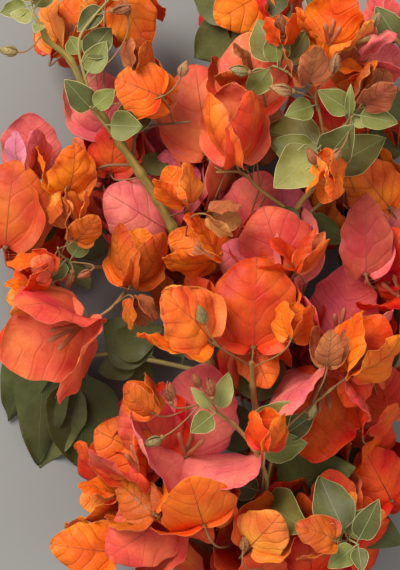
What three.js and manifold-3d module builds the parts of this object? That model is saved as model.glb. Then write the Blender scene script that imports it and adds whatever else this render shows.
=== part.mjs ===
// A cut flowering branch of bougainvillea, lying on a flat surface.
// Millimetres, +X to the right and +Y towards the shoots' tips as seen from above, +Z up.
// Each large bloom, bough and leafy spray is a solid of its own, a small gap from what carries it.
import * as THREE from 'three';
import { mergeVertices } from 'three/addons/utils/BufferGeometryUtils.js';
import Module from 'manifold-3d';

const wasm = await Module();
wasm.setup();

// Driving dimensions
const GAP = 0.4; // that a stem is cut from its parent
const CLEAR = 0.27; // least distance between neighbouring solids
const GAP_SEARCH = 1; // how far a neighbour is looked for
const FAR = 60; // longer than any stalk
const TIP_RADIUS = 0.3; // within this of a stem's end, a piece of it holds that end
const FLOOR = 9; // height of the surface that the branch lies on, in the layout
const REST_HEIGHT = 0.31; // of the middle of a blade that lies flat on it
const MIDDLE = [-3.4, -9.9]; // of the whole branch in the layout; the origin lies under it
const BRACT_WIDTH = 0.9; // share of the length
const BRACT_THICKNESS = 0.62;
const BRACT_CUP = 20; // degrees from the midrib to a margin
const BRACT_FLARE = 75; // degrees that the margins turn out near the foot
const BRACT_CURL = 50; // degrees that the midrib bends, bulging outwards
const ROOT_SWELL = 1.6; // how much thicker a blade is at its foot
const ROOTED = 0.9; // least length of bare stem before its first leaf
const LAST_SHARE = 0.96; // furthest place on a stem for a leaf's root
const KNOB_RADIUS = 2.2; // of the swelling that a bloom's bracts grow from
const KNOB_DEPTH = 0.4; // share of that radius by which its middle lies before the seat
const ROOT_OUT = 0.42; // share of it from the middle to where each bract starts
const BRACT_LOBE = 0.1; // how far the two lobes at its foot reach back, as a share of the length
const BROAD_WIDTH = 1.15; // width of a broad bract, which is heart-shaped
const BROAD_LOBE = 0.42; // and how far its lobes reach back
const BRACT_PROFILE = [0.42, 0.8]; // where the outline is widest, by its rise and its fall
const LEAF_WIDTH = 0.6;
const LEAF_THICKNESS = 0.5;
const LEAF_PROFILE = [0.55, 0.85];
const LEAF_CURL = 16;
const LEAF_CUP = -22;
const LEAF_STALK = 0.16; // share of a leaf's reach
const LEAF_STALK_RADIUS = 0.42;
const LEAF_RINGS = 4; // faces along a leaf, its stalk among them
const PLAIN_LEAF_RINGS = 3; // and along one that is placed by rule
const STALKED_SPREAD = 1.15; // above 1, the rings of a leaf draw nearer to its foot
const ALMOST_FLAT = 1e-3;
const CORNER = 1.3; // a ball of few faces is this much larger, so that its faces keep the radius
const STALK_RADIUS = [0.62, 0.95]; // of a bloom's stalk, at its foot and under the bracts
const STALK_SHARE = 0.4; // length over which a stalk bends into the bloom's line
const TUBE_LENGTH = 0.42; // of a flower tube, as a share of its bract
const TUBE_RADIUS = [0.55, 1.05];
const BLADE_ROUND = 6; // faces round a large bract
const BLADE_RINGS = 4; // faces along it
const BEHIND = 50; // a bloom that starts lower than this lies behind others and has fewer faces
const SMALL_ROUND = 4; // the same for a leaf and a young bract
const LIMB_SIDES = 5;
const LIMB_STEP = 13; // length of a limb's faces
const STALK_SIDES = 3;
const KNOB_SIDES = 4;
const FINENESS = [0.2, 0.15, 0.25, 0.1, 0.3, 0.06, 0.35]; // a fused solid keeps to its form within this
const LEAST_DETAIL = 2e-3; // corners that are nearer than this make a solid unsound
const MOST_LOST = 0.02; // share of a solid that may be left out as loose scraps
const YOUNG = 20; // a bract shorter than this is a young one
const YOUNG_SHARE = 0.8; // size of a young bloom's stalk and swelling
const FEW_RINGS = 3; // faces along its bracts, and along those of a bloom behind others
const BUD = 12; // and one shorter than this is still closed
const BUD_ROUND = 6;
const BUD_RINGS = 3;
const BUD_RIB = 0.12;
const BUD_WIDTH = 0.62;

// A bract that would touch a neighbour leans in or out by the first of these that clears it,
// and where none does it is a smaller one.
const LEANS = [0, 6, -6, 12, -12, 18, -18, 25, -25, 33, -33, 42];
const SIZES = [1, 0.86, 0.72, 0.6, 0.5];
const LIFTS = [0, 5, -5, 10, -10, 16, -16]; // and the tip of such a leaf is raised or lowered

// Boughs and twigs: where each starts (a limb and the share of its length), its points and radii
const LIMBS = {
  main_stem: { points: [[19, -153, 12.3], [19, -140, 12.3], [22, -112, 18], [26, -88, 26]],
    radii: [3.3, 2.5] },
  lower_shoot: { on: ['main_stem', 0.74], points: [[26, -92, 46], [27.7, -82, 60], [23, -69, 67],
    [15, -59, 71], [9.5, -54.6, 73]], radii: [1.6, 0.8] },
  centre_bough: { on: ['main_stem', 0.94], points: [[25, -62, 44], [22.3, -44, 60], [21.4, -32, 68]],
    radii: [1.9, 1.1] },
  left_bough_low: { on: ['main_stem', 0.88], points: [[16, -62, 34], [4.2, -36.5, 36], [2, -6.3, 38],
    [-9.7, 22, 43]], radii: [2.3, 1.8] },
  left_bough_high: { on: ['left_bough_low', 1], points: [[-17.6, 35.7, 50], [-31.5, 56.7, 58],
    [-48.3, 82, 66], [-54.6, 94.5, 69], [-64, 102.5, 71], [-66.4, 109, 72]], radii: [1.7, 0.8] },
  right_shoot_low: { on: ['main_stem', 0.82], points: [[36, -60, 28], [37.8, -40, 28], [42, -6, 30],
    [41.2, 22, 40]], radii: [1.9, 1.4] },
  right_shoot_high: { on: ['right_shoot_low', 1], points: [[42, 33.6, 47], [47, 40, 53], [51.2, 46.2, 59],
    [54, 55, 66], [60, 66.4, 76]], radii: [1.35, 0.8] },
  outer_bough_low: { on: ['main_stem', 0.6], points: [[61, -98, 24], [80, -57, 26], [85, -6, 28],
    [86, 24, 29]], radii: [2, 1.6] },
  outer_bough_high: { on: ['outer_bough_low', 1], points: [[90, 60, 34], [90, 92, 46], [80, 105, 55],
    [65, 101.6, 59], [52.5, 98.7, 60]], radii: [1.5, 0.9] },
  lower_left_bough: { on: ['main_stem', 0.5], points: [[6, -115, 21], [-8.4, -105, 24], [-19, -90, 30],
    [-25, -76, 36], [-27, -62, 38]], radii: [1.8, 0.9] },
  left_twig: { on: ['left_bough_low', 0.9], points: [[-16, 11, 42], [-39, 7.6, 44], [-59.6, 9.7, 47],
    [-75, 18, 38], [-85, 36, 34]], radii: [1, 0.7] },
};

// Side twigs that are one piece with the limb that they fork from
const FORKS = {
  tan_twig: { on: ['lower_shoot', 0.42], points: [[31.5, -68.5, 66], [36.5, -58.8, 71], [55.9, -42, 76]],
    radii: [0.8, 0.55] },
  top_shoot: { on: ['right_shoot_high', 0.7], points: [[50.8, 67, 69], [47, 78.5, 72], [35.7, 89, 74]],
    radii: [0.75, 0.5] },
  centre_twig: { on: ['right_shoot_high', 0.2], points: [[26, 40, 51], [16.8, 47.5, 56], [7, 47.5, 57]],
    radii: [0.95, 0.6] },
  right_fork_twig: { on: ['right_shoot_high', 0.14], points: [[58.8, 39.9, 46], [77.7, 42, 44]],
    radii: [0.9, 0.6] },
  high_twig: { on: ['outer_bough_high', 0.96], points: [[38, 109, 52], [24, 117, 48]], radii: [0.8, 0.6] },
  brown_twig_right: { on: ['left_bough_high', 0.38], points: [[-26, 65, 52], [-8.4, 68.5, 54], [-4, 69, 55]],
    radii: [0.75, 0.5] },
  brown_twig_left: { on: ['left_bough_high', 0.36], points: [[-42, 50, 46], [-50, 44, 44]],
    radii: [0.75, 0.5] },
  big_left_twig: { on: ['left_twig', 0.22], points: [[-31, -1.3, 44], [-38, -10, 47], [-44, -14, 49]],
    radii: [0.8, 0.6] },
  left_low_twig: { on: ['lower_left_bough', 0.34], points: [[-24, -110, 28], [-38, -109, 34]],
    radii: [1, 0.7] },
  bottom_right_twig: { on: ['outer_bough_low', 0.14], points: [[66, -112, 44], [60, -108, 62]],
    radii: [0.8, 0.5] },
};

// Blooms: what each grows on, where its three bracts meet, its line as [turn from +X, rise from the
// surface], the turn of its first bract about that line (0 is the side that faces up), the bracts'
// length and how far each leans out. Where a bloom is broad, its first bract is heart-shaped.
// Several blooms on one name are one solid.
const BLOOMS = {
  tulip: { on: ['centre_twig', 0.7], seat: [15.1, 52.5, 68], line: [95, 22], turn: -30, length: 35,
    lean: [14, 16, 14], tubes: 1, hue: 'coral' },
  heart: { on: ['centre_bough', 0.98], seat: [22.3, -25, 66], line: [88, -20], turn: 0, length: 38.5,
    lean: [20, 24, 26], hue: 'coral' },
  blush: { on: ['right_shoot_low', 0.7], seat: [33, -4, 44], line: [102, 6], turn: 60, length: 40,
    lean: [24, 22, 24], hue: 'rose' },
  plum: { on: ['outer_bough_low', 0.55], seat: [59, -22, 46], line: [80, 34], turn: 180, length: 33,
    lean: [24, 38, 38], tubes: 1, hue: 'plum' },
  salmon_right: { on: ['outer_bough_low', 0.85], seat: [70, 5.5, 54], line: [90, -24], turn: 0, length: 35,
    lean: [20, 28, 28], hue: 'rose' },
  scarlet_edge: { on: ['outer_bough_low', 0.72], seat: [84, -4, 46], line: [125, 24], turn: 180, length: 26,
    lean: [22, 35, 35], hue: 'scarlet' },
  ember_behind: { on: ['right_fork_twig', 0.6], seat: [62, 20, 27], line: [84, 4], turn: 66, length: 29,
    lean: [34, 24, 34], hue: 'russet' },
  marigold: { on: ['tan_twig', 0.96], seat: [63, -34.9, 80], line: [58, 10], turn: 60, length: 28,
    lean: [22, 22, 22], hue: 'orange' },
  crimson_cup: { on: ['right_shoot_low', 0.42], seat: [52, -39, 56], line: [262, 26], turn: 180, length: 38,
    lean: [22, 34, 34], tubes: 1, hue: 'scarlet' },
  rose_centre: { on: ['lower_left_bough', 0.86], seat: [-5.9, -71.4, 58], line: [75, 45], turn: 180,
    length: 41, lean: [38, 46, 46], hue: 'rose' },
  folded_centre: { on: ['lower_shoot', 0.36], seat: [27, -67, 82], line: [85, 5], turn: 60, length: 18,
    lean: [22, 22, 22], fused: true, hue: 'orange' },
  coin: { on: ['brown_twig_right', 0.8], seat: [-17.6, 79.4, 64], line: [158, -24], turn: 0, length: 20,
    lean: [20, 50, 50], broad: true, fused: true, hue: 'orange' },
  crisp_small: { on: ['left_bough_high', 0.12], seat: [-6.3, 35.3, 64], line: [118, 12], turn: 60, length: 18,
    lean: [24, 24, 24], fused: true, hue: 'orange' },
  centre_pair: { on: ['centre_bough', 0.95], seat: [38, -21, 78], line: [80, -20], turn: 60, length: 16,
    lean: [24, 24, 24], fused: true, hue: 'orange' },
  copper_young: { on: ['tan_twig', 0.8], seat: [52.5, -32, 86], line: [85, 5], turn: 0, length: 17,
    lean: [22, 22, 22], fused: true, hue: 'russet' },
  flame_left: { on: ['lower_left_bough', 0.55], seat: [-36, -90, 46], line: [190, 5], turn: 60, length: 18,
    lean: [24, 24, 24], fused: true, hue: 'orange' },
  crinkle_low_right: { on: ['bottom_right_twig', 0.6], seat: [64, -104, 46], line: [58, 5], turn: 60,
    length: 18, lean: [24, 24, 24], fused: true, hue: 'orange' },
  coral_low_left: { on: ['lower_left_bough', 0.84], seat: [-24.4, -78, 60], line: [112, 30], turn: 180,
    length: 31, lean: [24, 34, 34], tubes: 1, hue: 'coral' },
  russet: { on: ['lower_left_bough', 0.66], seat: [-20, -95, 66], line: [140, -28], turn: 0, length: 26,
    lean: [20, 34, 34], hue: 'russet' },
  pumpkin: { on: ['main_stem', 0.68], seat: [1.3, -98.7, 72], line: [106, -24], turn: 0, length: 28,
    lean: [20, 44, 44], broad: true, hue: 'orange' },
  coral_bottom: { on: ['left_low_twig', 0.25], seat: [-11.8, -98, 42], line: [213, -6], turn: 0, length: 35,
    lean: [20, 30, 30], hue: 'coral' },
  amber_bottom_left: { on: ['left_low_twig', 0.8], seat: [-37.8, -113, 50], line: [172, -22], turn: 0,
    length: 27, lean: [22, 32, 32], hue: 'orange' },
  big_left: { on: ['big_left_twig', 0.98], seat: [-50.4, -17.2, 62], line: [208, 25], turn: -70, length: 38,
    lean: [38, 40, 24], tubes: 1, hue: 'coral' },
  crinkle_left: { on: ['brown_twig_left', 0.96], seat: [-57, 39, 52], line: [92, 5], turn: 30, length: 24,
    lean: [22, 24, 24], hue: 'orange' },
  coral_left_edge: { on: ['left_twig', 0.84], seat: [-82, 17, 54], line: [84, -20], turn: 0, length: 38,
    lean: [20, 26, 26], hue: 'coral' },
  mauve_left: { on: ['left_twig', 0.96], seat: [-73, 48, 42], line: [88, 32], turn: 180, length: 27,
    lean: [24, 36, 36], tubes: 1, hue: 'mauve' },
  crimson_left: { on: ['left_twig', 0.7], seat: [-64, 4, 24], line: [115, -8], turn: 0, length: 26,
    lean: [22, 30, 30], hue: 'scarlet' },
  magenta_mid: { on: ['left_bough_low', 0.95], seat: [-14, 22, 30], line: [122, -6], turn: 20, length: 39,
    lean: [22, 28, 28], hue: 'plum' },
  salmon_stem_low: { on: ['brown_twig_left', 0.6], seat: [-40.7, 46, 20], line: [88, 6], turn: 60,
    length: 25, lean: [38, 24, 38], hue: 'coral' },
  salmon_stem_high: { on: ['salmon_stem_low', 0.3], seat: [-44, 68, 26], line: [92, 10], turn: 60,
    length: 26, lean: [30, 22, 30], hue: 'coral' },
  coral_top: { on: ['centre_twig', 0.5], seat: [22, 74, 56], line: [92, -18], turn: 0, length: 34,
    lean: [20, 28, 28], hue: 'coral' },
  coral_behind_tulip: { on: ['centre_twig', 0.9], seat: [3, 57, 38], line: [98, -16], turn: 0, length: 40,
    lean: [20, 26, 26], hue: 'coral' },
  orange_top: { on: ['high_twig', 0.9], seat: [27, 124, 44], line: [212, -20], turn: 0, length: 27,
    lean: [20, 32, 32], hue: 'orange' },
  orange_top_right: { on: ['outer_bough_high', 0.92], seat: [54, 101, 68], line: [80, 36], turn: 180,
    length: 26, lean: [24, 38, 38], tubes: 1, hue: 'orange' },
  vermilion_top_left: { on: ['left_bough_high', 0.8], seat: [-55.9, 101, 44], line: [85, -4], turn: 60,
    length: 28, lean: [28, 22, 28], hue: 'orange' },
  orange_upper: { on: ['left_bough_high', 0.58], seat: [-34, 122, 46], line: [300, -22], turn: 0, length: 25,
    lean: [20, 28, 28], hue: 'orange' },
  vivid_crinkled: { on: ['centre_bough', 0.99], seat: [2.5, -22.3, 80], line: [148, 0], turn: 25, length: 30,
    lean: [26, 22, 24], hue: 'orange' },
  orange_mid_left: { on: ['left_bough_low', 0.98], seat: [5, 12, 58], line: [152, 4], turn: 60, length: 23,
    lean: [28, 22, 28], hue: 'orange' },
  orange_pair_mid: { on: ['big_left_twig', 0.45], seat: [-29, 1, 56], line: [78, -4], turn: 60, length: 27,
    lean: [22, 22, 22], hue: 'russet' },
  orange_low_right: { on: ['main_stem', 0.58], seat: [22, -108, 64], line: [50, 15], turn: 0, length: 24,
    lean: [22, 26, 24], hue: 'orange' },
  coral_low: { on: ['main_stem', 0.4], seat: [27, -125, 44], line: [97, -8], turn: 0, length: 33,
    lean: [22, 32, 32], hue: 'coral' },
  scarlet_bottom: { on: ['main_stem', 0.3], seat: [47, -136, 38], line: [90, 6], turn: 60, length: 31,
    lean: [30, 24, 30], hue: 'scarlet' },
  crimson_right_edge: { on: ['outer_bough_low', 0.3], seat: [82, -92, 27], line: [118, -8], turn: 0,
    length: 28, lean: [22, 32, 32], hue: 'scarlet' },
  coral_right_back: { on: ['outer_bough_high', 0.25], seat: [58, 60, 25], line: [98, -6], turn: 0, length: 33,
    lean: [22, 32, 32], hue: 'coral' },
};

// Leafy sprays: one stem each, with leaves given by where they leave the stem and where they end,
// young blooms given as above, and further leaves by the rule in growLeaves.
const SPRAYS = {
  shoot_top_left: { on: ['left_bough_high', 1], points: [[-69, 112, 74], [-70, 117, 74]], radii: [0.7, 0.4],
    leaves: [[0.1, [-47, 112, 78]], [0.4, [-79, 113, 73]], [0.2, [-68, 104, 80]], [0.9, [-74, 128, 70]],
      [0.7, [-62, 126, 66]]],
    young: [[0.9, [-69, 118, 78], [80, 30], 9]], more: [2, 16] },
  shoot_upper_left: { on: ['left_bough_high', 0.66], points: [[-50.4, 102, 70], [-44, 112, 70],
    [-38, 119, 68]], radii: [0.65, 0.4],
    leaves: [[0.35, [-55, 104, 60]], [0.3, [-37, 108, 62]], [0.95, [-30, 130, 62]], [1, [-44, 131, 60]]],
    young: [[0.8, [-36, 114, 74], [10, 20], 9], [0.4, [-43, 102, 62], [250, 0], 8]], more: [2, 16] },
  leaves_left_stem: { on: ['left_bough_high', 0.48], points: [[-45, 73, 70], [-45.5, 74, 74]],
    radii: [0.7, 0.45], leaves: [[0.3, [-24, 66, 58], 0.8], [0.7, [-56, 85, 78]], [0.9, [-35, 81, 79]]],
    young: [], more: [0, 0] },
  shoot_top_centre: { on: ['top_shoot', 1], points: [[33, 90, 75], [30, 91, 75]], radii: [0.5, 0.4],
    leaves: [[0.4, [24, 111, 68], 0.7], [0.6, [31, 106, 80], 0.7], [0.1, [45, 113, 78]]],
    young: [[0.4, [34, 103, 82], [100, 10], 11], [0.9, [20, 88, 78], [170, 0], 9]], more: [2, 17] },
  buds_top: { on: ['top_shoot', 0.5], points: [[48, 80, 77], [50, 83, 80]], radii: [0.5, 0.35],
    leaves: [[0.1, [35, 70, 80], 0.62]],
    young: [[0.9, [44, 84.5, 84], [92, 5], 17], [1, [54, 87, 84], [70, 15], 10],
      [0.3, [38, 80, 82], [172, 5], 11]], more: [0, 0] },
  shoot_right: { on: ['right_shoot_high', 1], points: [[62, 69, 78], [64, 71, 79]], radii: [0.6, 0.4],
    leaves: [[0.4, [55, 82, 78], 0.7], [0.5, [62, 83, 84], 0.3], [0.9, [82, 67, 78], 0.55]],
    young: [[1, [68, 76, 82], [45, 5], 16]], more: [2, 16] },
  shoot_right_low: { on: ['right_shoot_high', 0.62], points: [[51, 57, 70], [50, 58, 72]],
    radii: [0.55, 0.4],
    leaves: [[0.9, [30.5, 40, 79], 0.76], [0.3, [29, 60, 62], 0.6], [0.1, [78, 53, 62], 0.75]],
    young: [[0.9, [48, 50, 82], [120, 20], 9], [0.2, [53, 45, 80], [250, 10], 13]], more: [2, 18] },
  shoot_centre: { on: ['lower_shoot', 1], points: [[5, -52, 76], [0, -49, 77]], radii: [0.6, 0.4],
    leaves: [[0.3, [12, -36, 74], 0.5], [0.1, [16, -49, 78], 0.5], [0.5, [-4, -42, 80], 0.35],
      [0.4, [-4, -61, 80], 0.7]],
    young: [[0.3, [5, -46, 82], [100, 5], 9], [1, [-20, -52, 80], [130, -5], 17],
      [0.9, [-12, -48, 82], [95, 5], 9.5], [0.95, [-16, -63, 82], [205, 5], 9]], more: [0, 0] },
  leaves_centre: { on: ['tan_twig', 0.4], points: [[36, -54, 66], [34, -52, 64]], radii: [0.6, 0.4],
    leaves: [[0.9, [16, -46, 66], 0.75], [0.5, [47, -56, 64], 0.6], [0.3, [36, -72, 62], 0.6]],
    young: [], more: [2, 20] },
  shoot_low_right: { on: ['bottom_right_twig', 1], points: [[62, -106, 70], [66, -108, 73]],
    radii: [0.5, 0.4],
    leaves: [[0.9, [74, -88, 80], 0.5], [1, [67, -119, 78], 0.6], [0.2, [44, -101, 78], 0.6],
      [0.5, [50, -80, 60], 0.6]],
    young: [[0.1, [55, -106, 76], [172, -15], 18]], more: [2, 18] },
  small_left: { on: ['left_twig', 0.5], points: [[-59, 13, 52], [-60, 16, 55]], radii: [0.5, 0.4],
    leaves: [[0.3, [-66, 0, 60], 0.5], [0.4, [-46, -2, 46], 0.5]],
    young: [[0.9, [-52, 20, 64], [60, 0], 15], [0.6, [-54, 27, 58], [95, 0], 15],
      [0.7, [-63, 5, 66], [150, 10], 13], [0.2, [-54, 5, 56], [250, 0], 8]], more: [1, 15] },
  back_leaves_left: { on: ['left_bough_low', 0.5], points: [[-24, -32, 28], [-44, -30, 24],
    [-60, -36, 22]], radii: [1.1, 0.7],
    leaves: [[0.9, [-70, -80, 6], 0.5], [0.8, [-53, -80, 7], 0.7], [0.3, [-42, -16, 20], 0.8],
      [0.5, [-22, -44, 20], 0.7], [1, [-88, -40, 6], 0.6], [0.95, [-82, -12, 6], 0.6]],
    young: [], more: [4, 26] },
  back_leaves_centre: { on: ['left_bough_low', 0.42], points: [[10, -20, 24], [16, 0, 18], [14, 20, 16]],
    radii: [1, 0.6],
    leaves: [[0.1, [4, -44, 30], 0.8], [0.5, [-12, -10, 12], 0.7], [0.9, [-6, 38, 8], 0.6]],
    young: [], more: [5, 28] },
};

const COLOURS = {
  stem: '#7a6a2c',
  leaf: '#6f7d3e',
  coral: '#ee6644',
  orange: '#ee6c12',
  russet: '#b8581c',
  rose: '#e06870',
  mauve: '#c9607a',
  plum: '#b23c60',
  scarlet: '#c02418',
};
const ROUGHNESS = { stem: 0.8, leaf: 0.55, bract: 0.65 };

const vector = (point) => new THREE.Vector3(...point);
const degrees = THREE.MathUtils.degToRad;

// The solid of a closed three.js geometry
function solidOf(geometry) {
  geometry.deleteAttribute('normal');
  geometry.deleteAttribute('uv');
  const merged = mergeVertices(geometry, 1e-4);
  const vertProperties = new Float32Array(merged.attributes.position.array);
  const triVerts = new Uint32Array(merged.index.array);
  return new wasm.Manifold(new wasm.Mesh({ numProp: 3, vertProperties, triVerts }));
}

// Moves each point of a geometry to the place that the function gives for it
function bend(geometry, place) {
  const position = geometry.attributes.position;
  const point = new THREE.Vector3();
  for (let i = 0; i < position.count; i += 1) {
    point.fromBufferAttribute(position, i);
    const moved = place(point);
    position.setXYZ(i, moved.x, moved.y, moved.z);
  }
  return geometry;
}

// A tapering tube along a curve: a cylinder bent onto it
function taperedTube(curve, radii, sides, steps, extra = 0) {
  const frames = curve.computeFrenetFrames(steps, false);
  const cylinder = new THREE.CylinderGeometry(1, 1, 1, sides, steps);
  return solidOf(bend(cylinder, (p) => {
    const along = p.y + 0.5;
    const step = Math.round(along * steps);
    const radius = THREE.MathUtils.lerp(radii[0], radii[1], along) + extra;
    return curve.getPointAt(along)
      .addScaledVector(frames.normals[step], p.x * radius)
      .addScaledVector(frames.binormals[step], -p.z * radius);
  }));
}

// A ball with few faces
function knob(centre, radius, sides) {
  return solidOf(bend(new THREE.SphereGeometry(radius, sides, 3), (p) => centre.clone().add(p)));
}

// A sphere whose quads are split by the same diagonals on its two faces, so that a thin blade made
// from it doesn't pass through itself where it is twisted
function flatSphere(round, rings) {
  const sphere = new THREE.SphereGeometry(1, round, rings);
  const index = sphere.index.array;
  for (let row = 1; row < rings - 1; row += 1) {
    for (let i = round / 2; i < round; i += 1) {
      const first = 3 * (round + 2 * (round * (row - 1) + i));
      const [a, b, d] = index.slice(first, first + 3);
      const c = index[first + 4];
      index.set([a, b, c, a, c, d], first);
    }
  }
  return sphere;
}

// A pointed blade: a sphere flattened onto a form that bends along its midrib and cups across it.
// along is the way from foot to tip and out the side that it bulges to; the cup turns the margins
// from that side, and the flare turns them back towards it near the foot.
// With a stalk, that share of its length is one.
function blade({ base, along, out, length, width, thickness, profile, curl, cup, flare, lobe, round, rings,
  stalk = 0 }) {
  const [rise, fall] = profile;
  const widest = rise / (rise + fall);
  const norm = 1 / (widest ** rise * (1 - widest) ** fall);
  const side = new THREE.Vector3().crossVectors(out, along);
  const half = (length * width) / 2;
  const bow = degrees(curl);
  return solidOf(bend(flatSphere(round, rings), (p) => {
    const ring = Math.hypot(p.x, p.z);
    const inside = ring > 1e-6;
    const row = THREE.MathUtils.clamp((1 - p.y) / 2, 0, 1);
    const t = stalk ? ringShare(row, rings, stalk) : row;
    const onBlade = Math.max(0, (t - stalk) / (1 - stalk));
    const s = inside ? p.x / ring : 0;
    const face = inside ? p.z / ring : 0;
    const turn = bow * (0.5 - t);
    const onward = (length / bow) * (Math.sin(bow / 2) - Math.sin(turn));
    const outward = (length / bow) * (Math.cos(turn) - Math.cos(bow / 2));
    const full = half * norm * onBlade ** rise * (1 - onBlade) ** fall;
    const reach = inside ? Math.max(full, stalk && t < 0.5 ? LEAF_STALK_RADIUS : 0) : 0;
    const across = degrees(cup - (cup + flare) * (1 - t) ** 2) || ALMOST_FLAT;
    const wide = (reach * Math.sin(s * across)) / across;
    const deep = (reach * (1 - Math.cos(s * across))) / across;
    const back = lobe * length * s * s * (1 - t) ** 3;
    const thick = (thickness / 2) * (1 + ROOT_SWELL * (1 - t) ** 6) * face - deep;
    const point = base.clone()
      .addScaledVector(along, onward - back * Math.cos(turn) - thick * Math.sin(turn))
      .addScaledVector(out, outward - back * Math.sin(turn) + thick * Math.cos(turn))
      .addScaledVector(side, wide);
    point.z = Math.max(point.z, FLOOR + REST_HEIGHT + (thickness / 2) * face);
    return point;
  }));
}

// Where a ring of a stalked blade lies: the first at the stalk's end, the others along the blade
function ringShare(row, rings, stalk) {
  const ring = Math.round((Math.acos(1 - 2 * row) / Math.PI) * rings);
  const onBlade = Math.max(0, (ring - 1) / (rings - 1));
  return ring === 0 ? 0 : stalk + (1 - stalk) * onBlade ** STALKED_SPREAD;
}

// A closed bud: a sphere drawn out to a point, with three ribs
function bud({ base, along, out, length, width }) {
  const side = new THREE.Vector3().crossVectors(out, along);
  const sphere = new THREE.SphereGeometry(1, BUD_ROUND, BUD_RINGS);
  return solidOf(bend(sphere, (p) => {
    const t = THREE.MathUtils.clamp((1 - p.y) / 2, 0, 1);
    const round = Math.atan2(p.z, p.x);
    const reach = Math.hypot(p.x, p.z) * (length * width) / 2 * (1 + BUD_RIB * Math.cos(3 * round))
      * (1.25 - 0.6 * t);
    return base.clone()
      .addScaledVector(along, length * t)
      .addScaledVector(side, reach * Math.cos(round))
      .addScaledVector(out, reach * Math.sin(round));
  }));
}

// The three directions of a bloom: its line, the side that faces up, and the one square to both
function directions([heading, rise]) {
  const level = new THREE.Vector3(Math.cos(degrees(heading)), Math.sin(degrees(heading)), 0);
  const up = new THREE.Vector3(0, 0, 1);
  const [onward, upward] = [Math.cos(degrees(rise)), Math.sin(degrees(rise))];
  const line = level.clone().multiplyScalar(onward).addScaledVector(up, upward);
  const upper = level.clone().multiplyScalar(-upward).addScaledVector(up, onward);
  return { line, upper, third: new THREE.Vector3().crossVectors(line, upper) };
}

// What the solids so far are, and the curves that others start on
const curves = {};
const radiiOf = {};
const startRadius = {}; // of the parent where a stem starts
const owners = {}; // node that a stem, bloom or spray belongs to
const nodes = {}; // solids of each node, to be fused
const hues = {};
const placed = []; // { node, solid, box }

function boxesNear(a, b) {
  return [0, 1, 2].every((k) => a.min[k] < b.max[k] + GAP_SEARCH && b.min[k] < a.max[k] + GAP_SEARCH);
}

// Whether a solid is clear of every other node
function isClear(solid, node) {
  const box = solid.boundingBox();
  return !placed.some((other) => other.node !== node && boxesNear(box, other.box)
    && solid.minGap(other.solid, GAP_SEARCH) < CLEAR);
}

function put(node, solid) {
  nodes[node] ??= [];
  nodes[node].push(solid);
  placed.push({ node, solid, box: solid.boundingBox() });
}

// A stem from a point of its parent through its own points; it is cut a gap clear of a parent that
// is another node
function growStem(name, { on, points, radii }, joined) {
  const start = on ? pointOn(...on) : null;
  const route = [...(start ? [start] : []), ...points.map(vector)];
  const curve = new THREE.CatmullRomCurve3(route, false, 'centripetal');
  const node = joined ? owners[on[0]] : name;
  curves[name] = curve;
  radiiOf[name] = radii;
  startRadius[name] = on ? THREE.MathUtils.lerp(...radiiOf[on[0]], on[1]) : 0;
  owners[name] = node;
  let solid = taperedTube(curve, radii, LIMB_SIDES, stepsOf(curve));
  const others = Object.keys(LIMBS).filter((limb) => limb !== node && limb in curves);
  if (on) {
    solid = cutClear(solid, [...new Set([...others, ...(joined ? [] : [on[0]])])], route.at(-1));
  }
  put(node, solid);
}

function stepsOf(curve) {
  return Math.max(3, Math.round(curve.getLength() / LIMB_STEP));
}

// A point on the middle of a stem's faces, by its share of the length; on a spray's stem, of the
// length that is clear of its parent
function pointOn(name, share) {
  const curve = curves[name];
  const hidden = name in SPRAYS
    ? Math.min(0.6, (startRadius[name] + GAP + ROOTED) / curve.getLength()) : 0;
  const steps = stepsOf(curve);
  const at = (hidden + (1 - hidden) * Math.min(share, LAST_SHARE)) * steps;
  const before = Math.min(steps - 1, Math.floor(at));
  return curve.getPointAt(before / steps).lerp(curve.getPointAt((before + 1) / steps), at - before);
}

// Takes from a solid what lies within the gap of the named stems, and keeps the piece that holds
// its end
function cutClear(solid, stems, end) {
  const tip = knob(end, TIP_RADIUS, LIMB_SIDES);
  const cutters = stems.flatMap((stem) => {
    const curve = curves[stem];
    const radii = radiiOf[stem];
    return [
      taperedTube(curve, radii, LIMB_SIDES, stepsOf(curve), GAP),
      knob(curve.getPointAt(1), (radii[1] + GAP) * CORNER, LIMB_SIDES),
    ];
  });
  const pieces = cutters.reduce((left, cutter) => left.subtract(cutter), solid).decompose();
  pieces.sort((a, b) => a.minGap(tip, FAR) - b.minGap(tip, FAR));
  return pieces[0];
}

// A bloom's stalk, from its twig to where its bracts meet, arriving along its line
function growStalk(name, on, seat, line, joined, length) {
  const start = pointOn(...on);
  const end = vector(seat);
  const away = end.distanceTo(start);
  const lead = start.clone().lerp(end, 0.3);
  const before = end.clone().addScaledVector(line, -STALK_SHARE * away);
  const curve = new THREE.CubicBezierCurve3(start, lead, before, end);
  const steps = Math.max(2, Math.min(4, Math.round(away / 11)));
  const slender = length < YOUNG ? YOUNG_SHARE : 1;
  const radii = STALK_RADIUS.map((radius) => radius * slender);
  let solid = taperedTube(curve, radii, STALK_SIDES, steps);
  if (!joined) {
    solid = cutClear(solid, [on[0]], end);
  }
  const node = joined ? owners[on[0]] : name;
  curves[name] = curve;
  radiiOf[name] = radii;
  owners[name] = node;
  if (!isClear(solid, node)) {
    throw new Error(`the stalk of ${name} touches a neighbour`);
  }
  put(node, solid);
  if (length >= BUD) {
    const middle = end.addScaledVector(line, -KNOB_RADIUS * slender * KNOB_DEPTH);
    put(node, knob(middle, KNOB_RADIUS * slender, KNOB_SIDES));
  }
  return node;
}

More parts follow.
